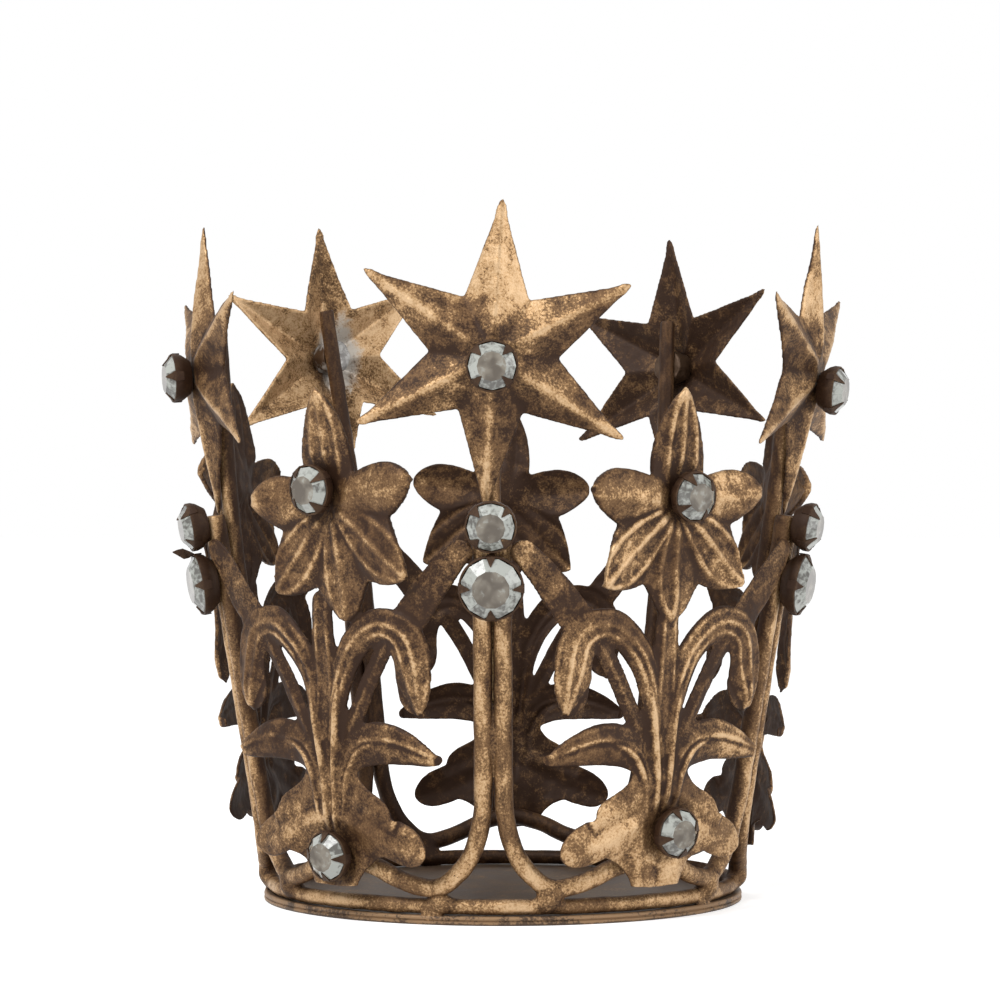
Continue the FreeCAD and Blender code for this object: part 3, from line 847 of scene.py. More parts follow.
PETALS = (
    # the top one, then both side ones, both lower ones and the lowest
    Leaf(((0, 2), (0, 8), (0, 14.4), (0, 20)), (10, 12, 9, 0.8), crown=0.5,
         ribs=(-0.58, -0.05, 0.45), rib_height=0.6, rib_width=0.65, tip=0.5,
         paired=False, gold=0.05, fade=1.1),
    Leaf(((3, -0.4), (10, 0.2), (15, 0.6), (18.8, 0.9)), (7, 10, 9, 2), crown=1.2,
         ribs=(-0.05,), rib_height=0.4, rib_width=1.3, fold=0.1, gold=0.1),
    Leaf(((2.2, -3.4), (7, -8), (11.6, -12.6), (15.6, -16.6)), (5, 10.4, 11, 1.6), crown=0.7,
         ribs=(-0.66, 0.0, 0.66), rib_height=0.6, rib_width=0.65, tip=0.3, gold=0.05),
    Leaf(((0, -5), (0, -11), (0, -17), (0, -23.2)), (5, 9, 10, 1.4), crown=0.6,
         ribs=(-0.6, 0.05), rib_height=0.6, rib_width=0.7, paired=False, gold=0.05, fade=0.3),
)


@dataclass(frozen=True)
class Spray:
    """A stamped spray: the sheet's place and bend, and how it is worn."""

    foot_radius: float = 47.874     # of the sheet's back at the floor, in the middle of a bay
    lean: float = 0.0875
    bend: float = 54.2              # from the crown's axis back to the middle of the sheet's bend
    sheet: float = 1.2
    thinned: float = 0.65           # how much of the sheet's back is taken away
    wave: float = 0.6               # how far the sheet is out of true
    waves: tuple[float, float] = (9.0, 3.6)         # width of its waves, and of the patches of wear
    lily_height: float = 78.5
    root: Span = (24.0, 16.0)       # heights between which it comes to be rubbed as its root leaf is
    lowest: float = -0.1            # height of the sheet between leaves
    skin: float = 0.32              # width of one quad
    ridge: float = 0.16             # height of a ridge that is rubbed to full gold
    seat: Span = (4.59, 7.29)       # radii round a stone's cup between which the relief rises
    nibble: tuple[float, float] = (0.06, 1.3)       # depth and width of the outline's unevenness
    dents: tuple[float, float] = (0.12, 4.0)

    def build(self, bay: int, material: bpy.types.Material) -> None:
        """Presses the spray of one bay.

        Args:
            bay: from 0, counted from the front post.
            material: its finish.
        """
        node = "flower_spray_%d" % (bay + 1)
        skin = even_skin("pressed_spray_%d" % (bay + 1), solid(node), self.skin)
        fit = FITS[bay]
        angle = (bay + 0.5) * BAY_ANGLE
        turn = np.array([[math.cos(angle), -math.sin(angle)], [math.sin(angle), math.cos(angle)]])
        local = skin.points.copy()
        local[:, :2] = local[:, :2] @ turn
        flat = local - np.array([0.0, -self.lean * fit.lift, fit.lift])
        across, up, depth = self._unrolled(flat)
        height, rub = self._pressed((across, up), self._on_lily(flat, fit), fit)
        rub = skin.smooth(rub, times=8)
        height = np.maximum(height, self.lowest) * self._clear_of_stones(skin.points, bay)
        height = skin.smooth(height, times=1)
        wave, patch = (clouds(skin.points, size, (bay * 5.1, 0, 0)) for size in self.waves)
        level = skin.smooth(height, times=12)
        uneven = np.clip(0.7 + (wave + patch) * 1.3, 0.1, 1)
        ridge = np.clip((height - level) / self.ridge, -1, 1) * uneven
        ridge = ridge + np.clip(level - 0.6, -0.5, 0.4) * 0.6 + rub
        root = ramp(up, *self.root)
        ridge = ridge * (1 - root * 0.5) + root * fit.root_gold

        height = height + wave * self.wave + (1 - np.clip(depth, 0, 1)) * self.thinned
        out = local[:, :2] - np.array([0.0, self.bend])
        out /= np.linalg.norm(out, axis=1)[:, None]
        push = np.column_stack([out @ turn.T, np.full(len(out), -self.lean)])
        skin.points = skin.smooth(skin.points + push * height[:, None], times=2, share=0.4)
        skin.hammer(*self.nibble, seed=3.0 + bay)
        skin.hammer(*self.dents, seed=9.0 + bay)
        skin.wear(reach=10, full=0.6, extra=ridge * np.clip(depth * 1.8 - 0.7, 0, 1))
        dress(skin.thing, material, node)

    def _unrolled(self, flat: Points) -> tuple[Points, Points, Points]:
        """Places on the sheet laid flat, for points of an unlifted spray at the front.

        Args:
            flat: the points.

        Returns:
            How far each lies to the right, how high, and how far towards the outside: 0 on the sheet's
            back and 1 on its front.
        """
        theta = np.arctan2(flat[:, 0], -flat[:, 1])
        radius = self.foot_radius + self.lean * flat[:, 2]
        behind = self.bend * np.sin(theta)
        back = np.sqrt((radius + self.bend) ** 2 - behind ** 2) - self.bend * np.cos(theta)
        depth = (np.hypot(flat[:, 0], flat[:, 1]) - back) / self.sheet
        return theta * radius, flat[:, 2], np.clip(depth, 0, 1.3)

    @staticmethod
    def _pressed(sheet: tuple[Points, Points], lily: tuple[Points, Points],
                 fit: SprayFit) -> tuple[Points, Points]:
        """The relief of whatever leaf stands out most at each point, and its rubbing.

        Args:
            sheet: both coordinates on the sheet.
            lily: both coordinates from the middle of the lily.
            fit: how the spray was fitted.

        Returns:
            Heights in millimetres, and the rubbing.
        """
        pressed = [leaf.relief(*sheet, 1.0) for leaf in LEAVES]
        pressed += [petal.relief(*lily, fit.veins) for petal in PETALS]
        heights, rubs = np.array(pressed).transpose(1, 0, 2)
        rubs[:len(LEAVES)] += fit.leaf_gold
        rubs[len(LEAVES):] += fit.lily_gold
        top = np.argmax(heights, axis=0)[None]
        height, rub = (np.take_along_axis(values, top, axis=0)[0] for values in (heights, rubs))
        return height, rub

    def _on_lily(self, flat: Points, fit: SprayFit) -> tuple[Points, Points]:
        """Finds where points lie on the lily.

        Args:
            flat: points of an unlifted spray at the front.
            fit: how the spray was fitted.

        Returns:
            How far each lies to the right of the lily's middle, and how far above it.
        """
        slope = math.hypot(1, self.lean)
        front = self.foot_radius + self.lean * self.lily_height + self.sheet * slope
        from_middle = flat - np.array([0.0, -front, self.lily_height])
        right = from_middle[:, 0] - fit.lily_side
        upward = (from_middle[:, 2] - self.lean * from_middle[:, 1]) / slope
        turn = math.radians(fit.lily_turn)
        cos, sin = math.cos(turn), math.sin(turn)
        return right * cos + upward * sin, upward * cos - right * sin

    def _clear_of_stones(self, points: Points, bay: int) -> Points:
        """Works out where the relief leaves room for the stones' cups.

        Args:
            points: in millimetres.
            bay: from 0, counted from the front post.

        Returns:
            1 away from the cups, falling to 0 under them.
        """
        share = np.ones(len(points))
        for centre in middles("spray_cups_%d" % (bay + 1)):
            gap = np.linalg.norm(points - centre, axis=1)
            share = np.minimum(share, ramp(gap, *self.seat))
        return share


# ---------------------------------------------------------------- stones and cups


def turned(rings: tuple[tuple[float, float], ...], sides: int) -> bmesh.types.BMesh:
    """Turns a closed solid about the Z axis.

    Args:
        rings: (radius, height) of each ring, from the middle of the underside round to the middle of
            the top.
        sides: how many sides each ring has.

    Returns:
        The shape, in millimetres.
    """
    shape = bmesh.new()
    (radius, height), *others = rings
    bmesh.ops.create_circle(shape, cap_ends=True, segments=sides, radius=radius)
    bmesh.ops.translate(shape, verts=shape.verts, vec=(0, 0, height))
    top = shape.faces[:]
    for step, (next_radius, next_height) in enumerate(others):
        grown = bmesh.ops.extrude_face_region(shape, geom=top)["geom"]
        left_inside = [face for face in top if face.is_valid and step > 0]
        bmesh.ops.delete(shape, geom=left_inside, context="FACES_ONLY")
        verts = [item for item in grown if isinstance(item, bmesh.types.BMVert)]
        kept = [item for item in grown if isinstance(item, bmesh.types.BMFace)]
        share = next_radius / radius
        bmesh.ops.scale(shape, verts=verts, vec=(share, share, 1))
        bmesh.ops.translate(shape, verts=verts, vec=(0, 0, next_height - height))
        radius, height, top = next_radius, next_height, kept
    bmesh.ops.recalc_face_normals(shape, faces=shape.faces)
    return shape


@dataclass(frozen=True)
class StoneSet:
    """A cut stone in its flared cup, with prongs folded over the bevel."""

    sides: int = 12
    crown: float = 1.5              # table above the girdle
    table: float = 0.62             # radius of the table to that of the girdle
    wall: float = 0.35
    rim: float = 3.5                # height of the cup
    flare: float = 2.5              # where the wall stops flaring
    foot: float = 0.70              # radius of the floor to that of the rim
    cup_sides: int = 48
    sharp: float = 40.0             # degrees between faces of a cup that meet in a sharp edge
    prongs: int = 4
    prong_root: float = 1.8         # width where a prong leaves the rim
    prong_reach: float = 2.0        # from the cup's outer wall inwards
    prong_sheet: float = 0.24
    lead: float = 2.0               # keeps the four-fold turns that occur clear of where angles jump
    snagged: str = "post_%s_5"      # the nodes whose large stone has one prong bent up
    large: float = 5.0              # girdle radius of a large stone, at least
    twist: float = 1.3              # of the bent prong
    # the facets' brightness is painted reflection of the white studio
    dimmest: float = 0.62           # "facet" of the dimmest bevel, and how much the brightest has more
    brighter: float = 0.34
    rubbed: tuple[float, float] = (0.66, 0.42)      # "raised" on the rim and prongs, and on the wall

    def build(self, prefix: str, glass: bpy.types.Material, brass: bpy.types.Material) -> None:
        """Makes the stones and the cups of one pair of nodes.

        Args:
            prefix: the nodes' names, with "%s" for what they are.
            glass: the stones' finish.
            brass: the cups' finish.
        """
        kinds = ("stone", "cup") if prefix.startswith("star") else ("stones", "cups")
        stone_node, cup_node = (prefix % kind for kind in kinds)
        stones, cups = bmesh.new(), bmesh.new()
        for number, corners in enumerate(islands(stone_node)):
            place, girdle = self._place(corners, islands(cup_node))
            chance = np.random.default_rng([number, *prefix.encode()])
            bent = self._upper_prong(place) if prefix == self.snagged and girdle > self.large else -1
            pour(self._stone(girdle, chance), stones, place)
            pour(self._cup(girdle, chance, bent), cups, place)
        thing = linked("set_" + stone_node, stones)
        dress(thing, glass, stone_node)
        thing.data.shade_flat()
        thing = linked("set_" + cup_node, cups)
        skin = Skin(thing)
        skin.carry("outward", skin.outward(skin.normals()))
        dress(thing, brass, cup_node)
        thing.data.set_sharp_from_angle(angle=math.radians(self.sharp))

    def _place(self, corners: Points, cups: list[Points]) -> tuple[Matrix, float]:
        """Finds where a stone sits.

        Args:
            corners: of the stone.
            cups: the corners of each cup that may hold it.

        Returns:
            The move from a stone that stands on the origin with a prong along X, and the girdle's radius.
        """
        middle = corners.mean(axis=0)
        axis = thin_axis(corners, middle)
        top = ((corners - middle) @ axis).max()
        base = middle + axis * (top - self.crown - self.rim)
        girdle = np.linalg.norm(np.cross(corners - base, axis), axis=1).max()
        cup = min(cups, key=lambda points: np.linalg.norm(points.mean(axis=0) - middle))
        height = (cup - base) @ axis
        tips = (cup - base)[height > height.max() - 0.05]
        right, up = level_axes(axis)
        around = np.exp(1j * self.prongs * np.arctan2(tips @ up, tips @ right)).sum()
        turn = (np.angle(around * np.exp(-1j * self.lead)) + self.lead) / self.prongs
        along = right * math.cos(turn) + up * math.sin(turn)
        place = Matrix((np.column_stack([along, np.cross(axis, along), axis]) * MM).tolist()).to_4x4()
        place.translation = Vector(base * MM)
        return place, float(girdle)

    def _stone(self, girdle: float, chance: np.random.Generator) -> bmesh.types.BMesh:
        """Cuts the stone.

        Args:
            girdle: its largest radius.
            chance: draws how bright each facet is.

        Returns:
            The stone above the floor of its cup, in millimetres.
        """
        rings = (
            (girdle * 0.25, 1.0), (girdle * 0.97, self.rim - 0.4), (girdle, self.rim - 0.3),
            (girdle, self.rim), (girdle * self.table, self.rim + self.crown))
        shape = turned(rings, self.sides)
        half_turn = Matrix.Rotation(math.pi / self.sides, 3, "Z")
        bmesh.ops.rotate(shape, verts=shape.verts, cent=(0, 0, 0), matrix=half_turn)
        layer = shape.faces.layers.float.new("facet")
        for face in sorted(shape.faces, key=self._round_the_stone):
            table = face.normal.z > 0.95
            face[layer] = 0.0 if table else self.dimmest + self.brighter * chance.random()
        return shape

    @staticmethod
    def _round_the_stone(face: bmesh.types.BMFace) -> tuple[float, float]:
        """Height and direction of a facet, by which facets are taken in the same order each time."""
        centre = face.calc_center_median()
        return round(centre.z, 2), round((math.atan2(centre.y, centre.x) + 0.1) % (2 * math.pi), 2)

    def _upper_prong(self, place: Matrix) -> int:
        """The number of the prong that is uppermost when the cup stands in its place."""
        turns = [number * 2 * math.pi / self.prongs for number in range(self.prongs)]
        heights = [(place.to_3x3() @ Vector((math.cos(turn), math.sin(turn), 0))).z for turn in turns]
        return heights.index(max(heights))

    def _cup(self, girdle: float, chance: np.random.Generator, bent: int) -> bmesh.types.BMesh:
        """Turns the cup and folds its prongs.

        Args:
            girdle: the stone's radius.
            chance: draws how the prongs differ.
            bent: the number of the prong that is bent up, or -1.

        Returns:
            The cup, in millimetres.
        """
        outer = girdle + self.wall + 0.05
        inner = outer - self.wall
        foot = outer * self.foot
        rings = (
            (foot * 0.9, 0.0), (foot, 0.08), (outer * 0.93, 1.6), (outer, self.flare),
            (outer, self.rim - 0.08), (outer - 0.1, self.rim), (inner + 0.06, self.rim),
            (inner, self.rim - 0.06), (inner, self.flare), (foot * 0.95, 0.55))
        shape = turned(rings, self.cup_sides)
        slope = self.crown / (girdle * (1 - self.table))
        for number in range(self.prongs):
            turn = Matrix.Rotation(number * 2 * math.pi / self.prongs, 4, "Z")
            pour(self._prong(outer, slope, chance, number == bent), shape, turn)
        layer = shape.verts.layers.float.new("raised")
        for vert in shape.verts:
            vert[layer] = self.rubbed[0] if vert.co.z > self.rim - 0.12 else self.rubbed[1]
        return shape

    def _prong(self, outer: float, slope: float, chance: np.random.Generator,
               bent: bool) -> bmesh.types.BMesh:
        """Folds one prong along X: a strip up the wall, then over the bevel, or bent up and twisted.

        Args:
            outer: radius of the cup's outer wall.
            slope: of the stone's bevel.
            chance: draws its width, its reach and how far it leans.
            bent: whether it is bent up.

        Returns:
            The prong, in millimetres.
        """
        half = self.prong_root / 2 * (0.8 + 0.4 * chance.random())
        reach = self.prong_reach * (0.85 + 0.25 * chance.random())
        lean = 0.25 * (chance.random() - 0.5)
        lift = self.rim + 0.12
        steps = [(outer + 0.02, 1.9, 0.8), (outer + 0.04, self.rim - 0.25, 1.0)]
        if bent:
            steps += [(outer + 0.15, lift + 0.5, 1.4), (outer + 0.5, lift + 1.7, 1.3),
                      (outer + 0.9, lift + 2.8, 0.7), (outer + 1.1, lift + 3.7, 0.1)]
        else:
            steps += [(outer - 0.12, lift, 1.0)]
            steps += [(outer - part * reach, lift + slope * (part * reach - self.wall) - sunk, share)
                      for part, sunk, share in ((0.45, 0.0, 0.62), (0.8, 0.0, 0.30), (1.0, 0.02, 0.04))]
        shape = bmesh.new()
        x, z, share = steps[0]
        pair = [shape.verts.new((x, side * half * share, z)) for side in (-1, 1)]
        edge = [shape.edges.new(pair)]
        for next_x, next_z, next_share in steps[1:]:
            grown = bmesh.ops.extrude_edge_only(shape, edges=edge)["geom"]
            verts = [item for item in grown if isinstance(item, bmesh.types.BMVert)]
            edge = [item for item in grown if isinstance(item, bmesh.types.BMEdge)]
            bmesh.ops.scale(shape, verts=verts, vec=(1, next_share / share, 1))
            bmesh.ops.translate(shape, verts=verts, vec=(next_x - x, lean * abs(next_x - x), next_z - z))
            x, z, share = next_x, next_z, next_share
        if bent:
            for vert in shape.verts:
                turn = self.twist * min(max(vert.co.z - self.rim, 0) / 1.6, 1)
                vert.co += Vector((-math.sin(turn), math.cos(turn) - 1, 0)) * vert.co.y
        bmesh.ops.recalc_face_normals(shape, faces=shape.faces)
        bmesh.ops.solidify(shape, geom=shape.faces[:], thickness=self.prong_sheet)
        bmesh.ops.recalc_face_normals(shape, faces=shape.faces)
        return shape


# ---------------------------------------------------------------- wires, stars, braze and floor


def bare_solder(points: Points) -> Points:
    """How much solder lies bare at points: only behind the star of the fourth post, smeared to one side.

    Args:
        points: in millimetres.

    Returns:
        A number from 0 to 1 at each point.
    """
    aside, above = 2.6, 0.3         # of the smear's middle from the star's
    width, length, depth = 5.0, 8.5, 8.0
    edge, full = 1.45, 0.45         # where it ends and where it is full, in its width and length
    low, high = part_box("star_4")
    middle = (np.array(low) + np.array(high)) / 2 / MM
    inwards = -middle[:2] / np.linalg.norm(middle[:2])
    gap = points - middle - np.array([aside * -inwards[1], aside * inwards[0], above])
    sideways = gap[:, 1] * inwards[0] - gap[:, 0] * inwards[1]
    away = np.hypot(sideways / width, gap[:, 2] / length)
    return ramp(away, edge, full) * (np.abs(gap[:, :2] @ inwards) < depth)


@dataclass(frozen=True)
class Wire:
    """A round wire or a lump of solder whose skin is evened, hammered and worn."""

    name: str
    node: str
    slot: Slot = Slot.WIRE
    skin: float = 0.4               # width of one quad
    dents: tuple[float, float] = (0.13, 3.5)        # depth and width
    soften: int = 2                 # rounds of smoothing

    def build(self, seed: float, material: bpy.types.Material) -> None:
        """Makes the piece.

        Args:
            seed: where in the noise it lies.
            material: its finish.
        """
        skin = even_skin(self.name, solid(self.node), self.skin)
        skin.points = skin.smooth(skin.points, self.soften, share=0.5)
        skin.hammer(*self.dents, seed)
        skin.wear(reach=12, full=0.2)
        if self.slot is Slot.SOLDER:
            skin.carry("tinned", bare_solder(skin.points))
        dress(skin.thing, material, self.node)


@dataclass(frozen=True)
class FoldedStar:
    """A six-pointed star folded from sheet, its ridges softened and rubbed, its middle dished."""

    skin: float = 0.3               # width of one quad
    soften: int = 3                 # rounds of smoothing
    blunt: float = 4.0              # length of a point that is filed round
    widened: float = 1.5            # how much wider the very end is made
    ridge: float = 0.28             # height of a ridge that is rubbed to full gold
    middle: float = 7.5             # radius of the dull middle
    dish: float = 0.30              # depth of the middle
    wave: float = 0.30
    wave_size: float = 8.0
    back: float = -0.2              # facing below which solder may show
    # rise and beside put more gold on each star's upper point: gold wear and painted light from above
    rise: Span = (5.0, 11.0)        # heights above the middle between which the top point's gold sets in
    beside: Span = (9.0, 6.0)       # distances beside the middle between which it does
    dents: tuple[float, float] = (0.06, 1.6)        # depth and width

    def build(self, bay: int, material: bpy.types.Material) -> None:
        """Folds the star of one bay.

        Args:
            bay: from 0, counted from the front post.
            material: its finish.
        """
        node = "star_%d" % (bay + 1)
        skin = even_skin("folded_" + node, solid(node), self.skin)
        centre = skin.points.mean(axis=0)
        axis = thin_axis(skin.points[::7], centre)
        flat = skin.points - ((skin.points - centre) @ axis)[:, None] * axis
        reach = np.linalg.norm(flat - centre, axis=1)
        height = skin.smooth((skin.points - centre) @ axis, self.soften)
        crest = (height - skin.smooth(height, times=60)) / self.ridge
        inner = np.exp(-(reach / self.middle) ** 2)
        height = height - self.dish * inner + clouds(flat, self.wave_size, (bay * 3.3, 5, 0)) * self.wave
        skin.points = self._blunted(flat, centre, axis) + height[:, None] * axis
        skin.points = skin.smooth(skin.points, self.soften, share=0.5)
        skin.hammer(*self.dents, seed=bay + 30.0)

        facing = skin.normals() @ axis
        beside = np.abs((skin.points - centre) @ np.cross([0, 0, 1], axis))
        above = skin.points[:, 2] - centre[2]
        # more gold on the upper point: gold wear and painted light from above
        lit_top_point = ramp(above, *self.rise) * ramp(beside, *self.beside)
        rubbed = np.clip(crest, -0.9, 1) * (1 - inner) - inner * 0.3 + lit_top_point * 0.8
        skin.wear(reach=8, full=0.7, extra=rubbed * ramp(facing, 0, 0.5))
        skin.carry("tinned", bare_solder(skin.points) * (facing < self.back))
        dress(skin.thing, material, node)

    def _blunted(self, flat: Points, centre: Points, axis: Points) -> Points:
        """Widens the ends of the six points sideways, so that they are round and no shorter.

        Args:
            flat: the star's points on the plane through its middle.
            centre: its middle.
            axis: what the plane stands across.

        Returns:
            The points on the plane, moved.
        """
        right, up = level_axes(axis)
        x, y = (flat - centre) @ right, (flat - centre) @ up
        reach, angle = np.hypot(x, y), np.arctan2(y, x)
        last = ramp(reach, reach.max() - self.blunt, reach.max())
        turn = np.angle(np.exp(6j * angle[last > 0.5]).sum()) / 6
        arm = np.round((angle - turn) * 3 / math.pi) * math.pi / 3 + turn
        angle = arm + (angle - arm) * (1 + self.widened * last ** 2)
        return centre + np.outer(reach * np.cos(angle), right) + np.outer(reach * np.sin(angle), up)


@dataclass(frozen=True)
class Braze:
    """Brazing metal that fills the corners between the pieces that a lump joins."""

    node: str
    neighbours: tuple[str, ...]     # how the joined pieces' names start
    reach: float                    # how far it spreads from a lump's middle
    skin: float = 0.3               # width of one quad
    fill: int = 26                  # rounds of smoothing that melt the corners full
    proud: float = 0.1              # how far it swells in the middle
    sunk: float = 0.30              # how far its edge sinks into the pieces
    melted: Span = (1.15, 0.15)     # distances between which it comes to be melted, where 1 is its reach
    own: bool = False               # the construction lump itself is melted in
    dents: tuple[float, float] = (0.10, 1.8)        # depth and width

    def build(self, seed: float, material: bpy.types.Material) -> None:
        """Makes every lump of one node as one piece.

        Args:
            seed: where in the noise it lies.
            material: its finish.
        """
        near_by = [thing for thing in bpy.data.objects if thing.name.startswith(self.neighbours)]
        if self.own:
            near_by.append(frame["nodes"][self.node])
        whole = bmesh.new()
        for centre in middles(self.node):
            lump = self._lump(centre, near_by)
            mesh = lump.data
            whole.from_mesh(mesh)
            bpy.data.objects.remove(lump)
            bpy.data.meshes.remove(mesh)
        skin = Skin(linked("worn_" + self.node, whole))
        skin.hammer(*self.dents, seed)
        skin.wear(reach=10, full=0.3)
        dress(skin.thing, material, self.node)

    def _lump(self, centre: Points, near_by: list[bpy.types.Object]) -> bpy.types.Object:
        """Joins what lies near one lump and melts it together.

        Args:
            centre: the lump's middle.
            near_by: the pieces that may lie near.

        Returns:
            The lump, linked.
        """
        pool = bmesh.new()
        for thing in near_by:
            part = self._near_part(thing, centre)
            if part is not None:
                pour(part, pool)
        skin = even_skin("lump", pool, self.skin)
        away = np.linalg.norm(skin.points - centre, axis=1) / self.reach
        share = ramp(away, *self.melted)
        share = (share * share * (3 - 2 * share))[:, None]
        skin.points = skin.points + (skin.smooth(skin.points, self.fill) - skin.points) * share
        skin.points = skin.points + skin.normals() * (self.proud * share - self.sunk * (1 - share))
        skin.write()
        return skin.thing

    def _near_part(self, thing: bpy.types.Object, centre: Points) -> bmesh.types.BMesh | None:
        """Cuts out the part of a piece that lies within reach.

        Args:
            thing: the piece.
            centre: the lump's middle.

        Returns:
            A closed copy of the part, or nothing.
        """
        places = read(thing.data.vertices, "co", 3) / MM
        far = np.linalg.norm(places - centre, axis=1) > self.reach
        if far.all():
            return None
        shape = bmesh.new()
        shape.from_mesh(thing.data)
        shape.verts.ensure_lookup_table()
        bmesh.ops.delete(shape, geom=[shape.verts[i] for i in np.nonzero(far)[0]], context="VERTS")
        bmesh.ops.remove_doubles(shape, verts=shape.verts, dist=WELD)
        bmesh.ops.holes_fill(shape, edges=[edge for edge in shape.edges if edge.is_boundary], sides=0)
        return shape


@dataclass(frozen=True)
class FloorPlate:
    """The flat sheet floor with its turned-down, hemmed rim."""

    radius: float = 46.9
    top: float = 1.7
    sheet: float = 0.8
    rim: float = 1.4                # width of the hemmed rim
    rubbed: tuple[float, float] = (0.72, 0.36)      # "raised" on the rim's outside, and elsewhere
    sides: int = 180
    sharp: float = 50.0             # degrees between faces that meet in a sharp edge

    def build(self, material: bpy.types.Material) -> None:
        """Turns the plate.

        Args:
            material: its finish.
        """
        r, inside, under = self.radius, self.radius - self.rim, self.top - self.sheet
        rings = (
            (r * 0.5, under), (inside - 0.2, under), (inside, under - 0.2), (inside, 0.15),
            (inside + 0.15, 0.0), (r - 0.30, 0.0), (r - 0.06, 0.14), (r, 0.40), (r - 0.04, 0.66),
            (r - 0.30, 0.80), (r - 0.30, 0.90), (r - 0.04, 1.04), (r, 1.28), (r - 0.08, 1.55),
            (r - 0.35, self.top), (r - 1.0, self.top - 0.04),
            (r - 3.0, self.top - 0.06), (r * 0.8, self.top - 0.05), (r * 0.6, self.top - 0.02),
            (r * 0.4, self.top), (r * 0.2, self.top), (r * 0.05, self.top))
        shape = turned(rings, self.sides)
        bmesh.ops.scale(shape, verts=shape.verts, vec=(MM, MM, MM))
        layer = shape.verts.layers.float.new("raised")
        for vert in shape.verts:
            on_rim = vert.co.xy.length / MM > r - 0.5 and vert.co.z / MM > 0.2
            vert[layer] = self.rubbed[0] if on_rim else self.rubbed[1]
        thing = linked("floor_plate", shape)
        dress(thing, material, "base_plate")
        thing.data.set_sharp_from_angle(angle=math.radians(self.sharp))


# ---------------------------------------------------------------- studio


@dataclass(frozen=True)
class Studio:
    """The pale floor, the soft light and the camera."""

    distance: float = 620.0         # of the camera from the crown's axis
    height: float = 72.0            # of the camera above the floor
    azimuth: float = 2.0            # of the camera, in degrees to the right of the front
    lens: float = 113.3
    shift: tuple[float, float] = (-0.003, 0.031)
    ambient: float = 0.62           # strength of the light from all round
    floor_size: float = 60000.0
    aim: tuple[float, float, float] = (0.0, 0.0, 0.065)     # where the lamps point, in metres

    def build(self) -> None:
        """Builds floor, world, lamps and camera."""
        self._floor()
        self._world()
        self._lamps()
        self._camera()

    def _floor(self) -> None:
        """A plain pale floor that keeps the object's shadow."""
        shape = bmesh.new()
        bmesh.ops.create_grid(shape, x_segments=1, y_segments=1, size=self.floor_size * MM / 2)
        floor = linked("floor", shape)
        floor.data.materials.append(PaleFloor().material())

    def _world(self) -> None:
        """Soft light from all round, which shows as plain white."""
        world = bpy.data.worlds.new("studio")
        bpy.context.scene.world = world
        shader = Shader(world)
        strength = shader.seen() * (1 - self.ambient) + self.ambient
        shader.finish(shader.node("ShaderNodeBackground", {}, {"Color": (1, 1, 1, 1), "Strength": strength}))

    def _lamps(self) -> None:
        """A large soft lamp above the front left, and a weaker one on the right."""
        for name, place, size, power in (
                ("key", (-0.45, -0.55, 0.75), 0.55, 6.0), ("fill", (0.7, -0.35, 0.35), 0.6, 2.0)):
            data = bpy.data.lights.new(name, "AREA")
            data.shape = "DISK"
            data.size = size
            data.energy = power
            lamp = bpy.data.objects.new(name, data)
            lamp.location = place
            lamp.rotation_euler = (Vector(self.aim) - Vector(place)).to_track_quat("-Z", "Y").to_euler()
            bpy.context.scene.collection.objects.link(lamp)

    def _camera(self) -> None:
        """A level camera a little to the right of the front."""
        angle = math.radians(self.azimuth)
        data = bpy.data.cameras.new("camera")
        data.lens = self.lens
        data.sensor_width = 36.0
        data.shift_x, data.shift_y = self.shift
        camera = bpy.data.objects.new("camera", data)
        camera.location = Vector((math.sin(angle), -math.cos(angle), 0)) * self.distance * MM
        camera.location.z = self.height * MM
        camera.rotation_euler = (math.pi / 2, 0, angle)
        bpy.context.scene.collection.objects.link(camera)
        bpy.context.scene.camera = camera


# ---------------------------------------------------------------- crown


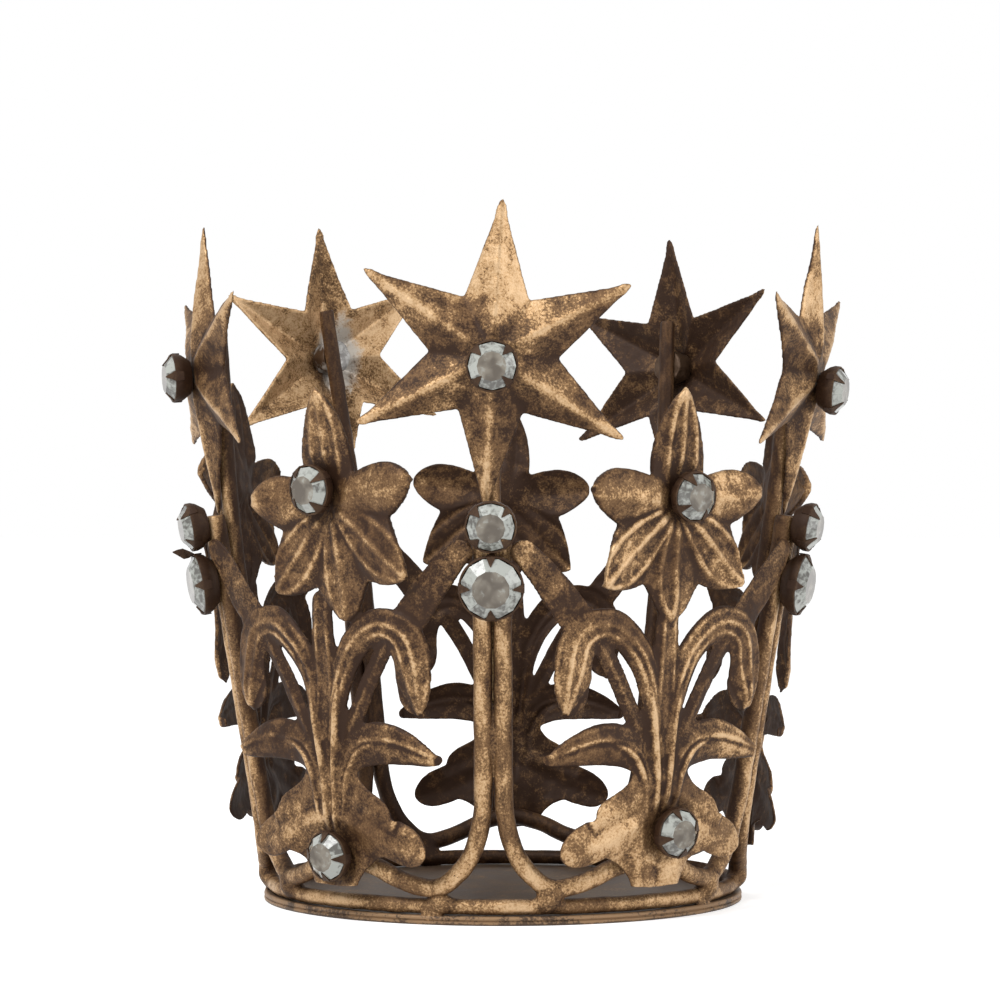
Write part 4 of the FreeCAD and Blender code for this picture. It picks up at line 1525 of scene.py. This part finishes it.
def main() -> None:
    """Builds the studio and every piece of the crown, in order."""
    logging.basicConfig(level=logging.INFO, format="%(name)s: %(message)s")
    bpy.context.scene.view_settings.view_transform = "Standard"
    Studio().build()
    gilt_spray = Gilding("gilt spray", relief=0.68, blotch=0.82).material()
    # wires keep gold to faces turned out, towards the camera, and darken at their sides: rubbing and painted
    # shade
    gilt_wire = Gilding(
        "gilt wire", cover=-0.20, relief=0.35, facing=1.5, blotch=0.95, upright=3.0).material()
    gilt_ring = Gilding("gilt ring", cover=-0.24, relief=0.35, facing=0.9, blotch=0.6).material()
    gilt_star = Gilding("gilt star", cover=-0.30, relief=0.65, blotch=0.8).material()
    # the fourth star's back gets gold on its inward face: partly gold haze, partly painted light falling on
    # it
    lit_star_back = Gilding("gilt star back", cover=-0.26, relief=0.65, facing=-0.45, blotch=0.8).material()
    dark_brass = Gilding(
        "cup brass", cover=-0.80, relief=0.6, blotch=0.7,
        brown=(0.060, 0.031, 0.015), haze=(0.110, 0.062, 0.031)).material()
    sheet, solder, glass = FloorBrown().material(), DullSolder().material(), OldGlass().material()
    spray, star, setting = Spray(), FoldedStar(), StoneSet()
    for bay in range(BAYS):
        number = bay + 1
        spray.build(bay, gilt_spray)
        Wire("bent_wire_%d" % number, "frame_wire_%d" % number).build(bay + 10.0, gilt_wire)
        Wire("stem_wire_%d" % number, "star_stem_%d" % number).build(bay + 20.0, gilt_wire)
        star.build(bay, lit_star_back if number == 4 else gilt_star)
        for prefix in ("star_%s_", "post_%s_", "spray_%s_"):
            setting.build(prefix + str(number), glass, dark_brass)
    Wire("ring", "base_ring").build(40.0, gilt_ring)
    FloorPlate().build(sheet)
    Braze("foot_braze", ("bent_wire", "ring"), 6.5, fill=80, proud=0.45, own=True).build(51.0, gilt_ring)
    Braze("ring_braze", ("ring", "floor_plate"), reach=3.5).build(52.0, gilt_ring)
    Braze("post_braze", ("bent_wire",), reach=7.0, fill=40).build(53.0, gilt_wire)
    Braze("shoulder_braze", ("bent_wire", "pressed_spray"), reach=3.6, fill=16).build(54.0, gilt_spray)
    Wire("solder", "star_solder", Slot.SOLDER, skin=0.25, dents=(0.3, 1.8)).build(60.0, solder)


if __name__ == "__main__":
    main()
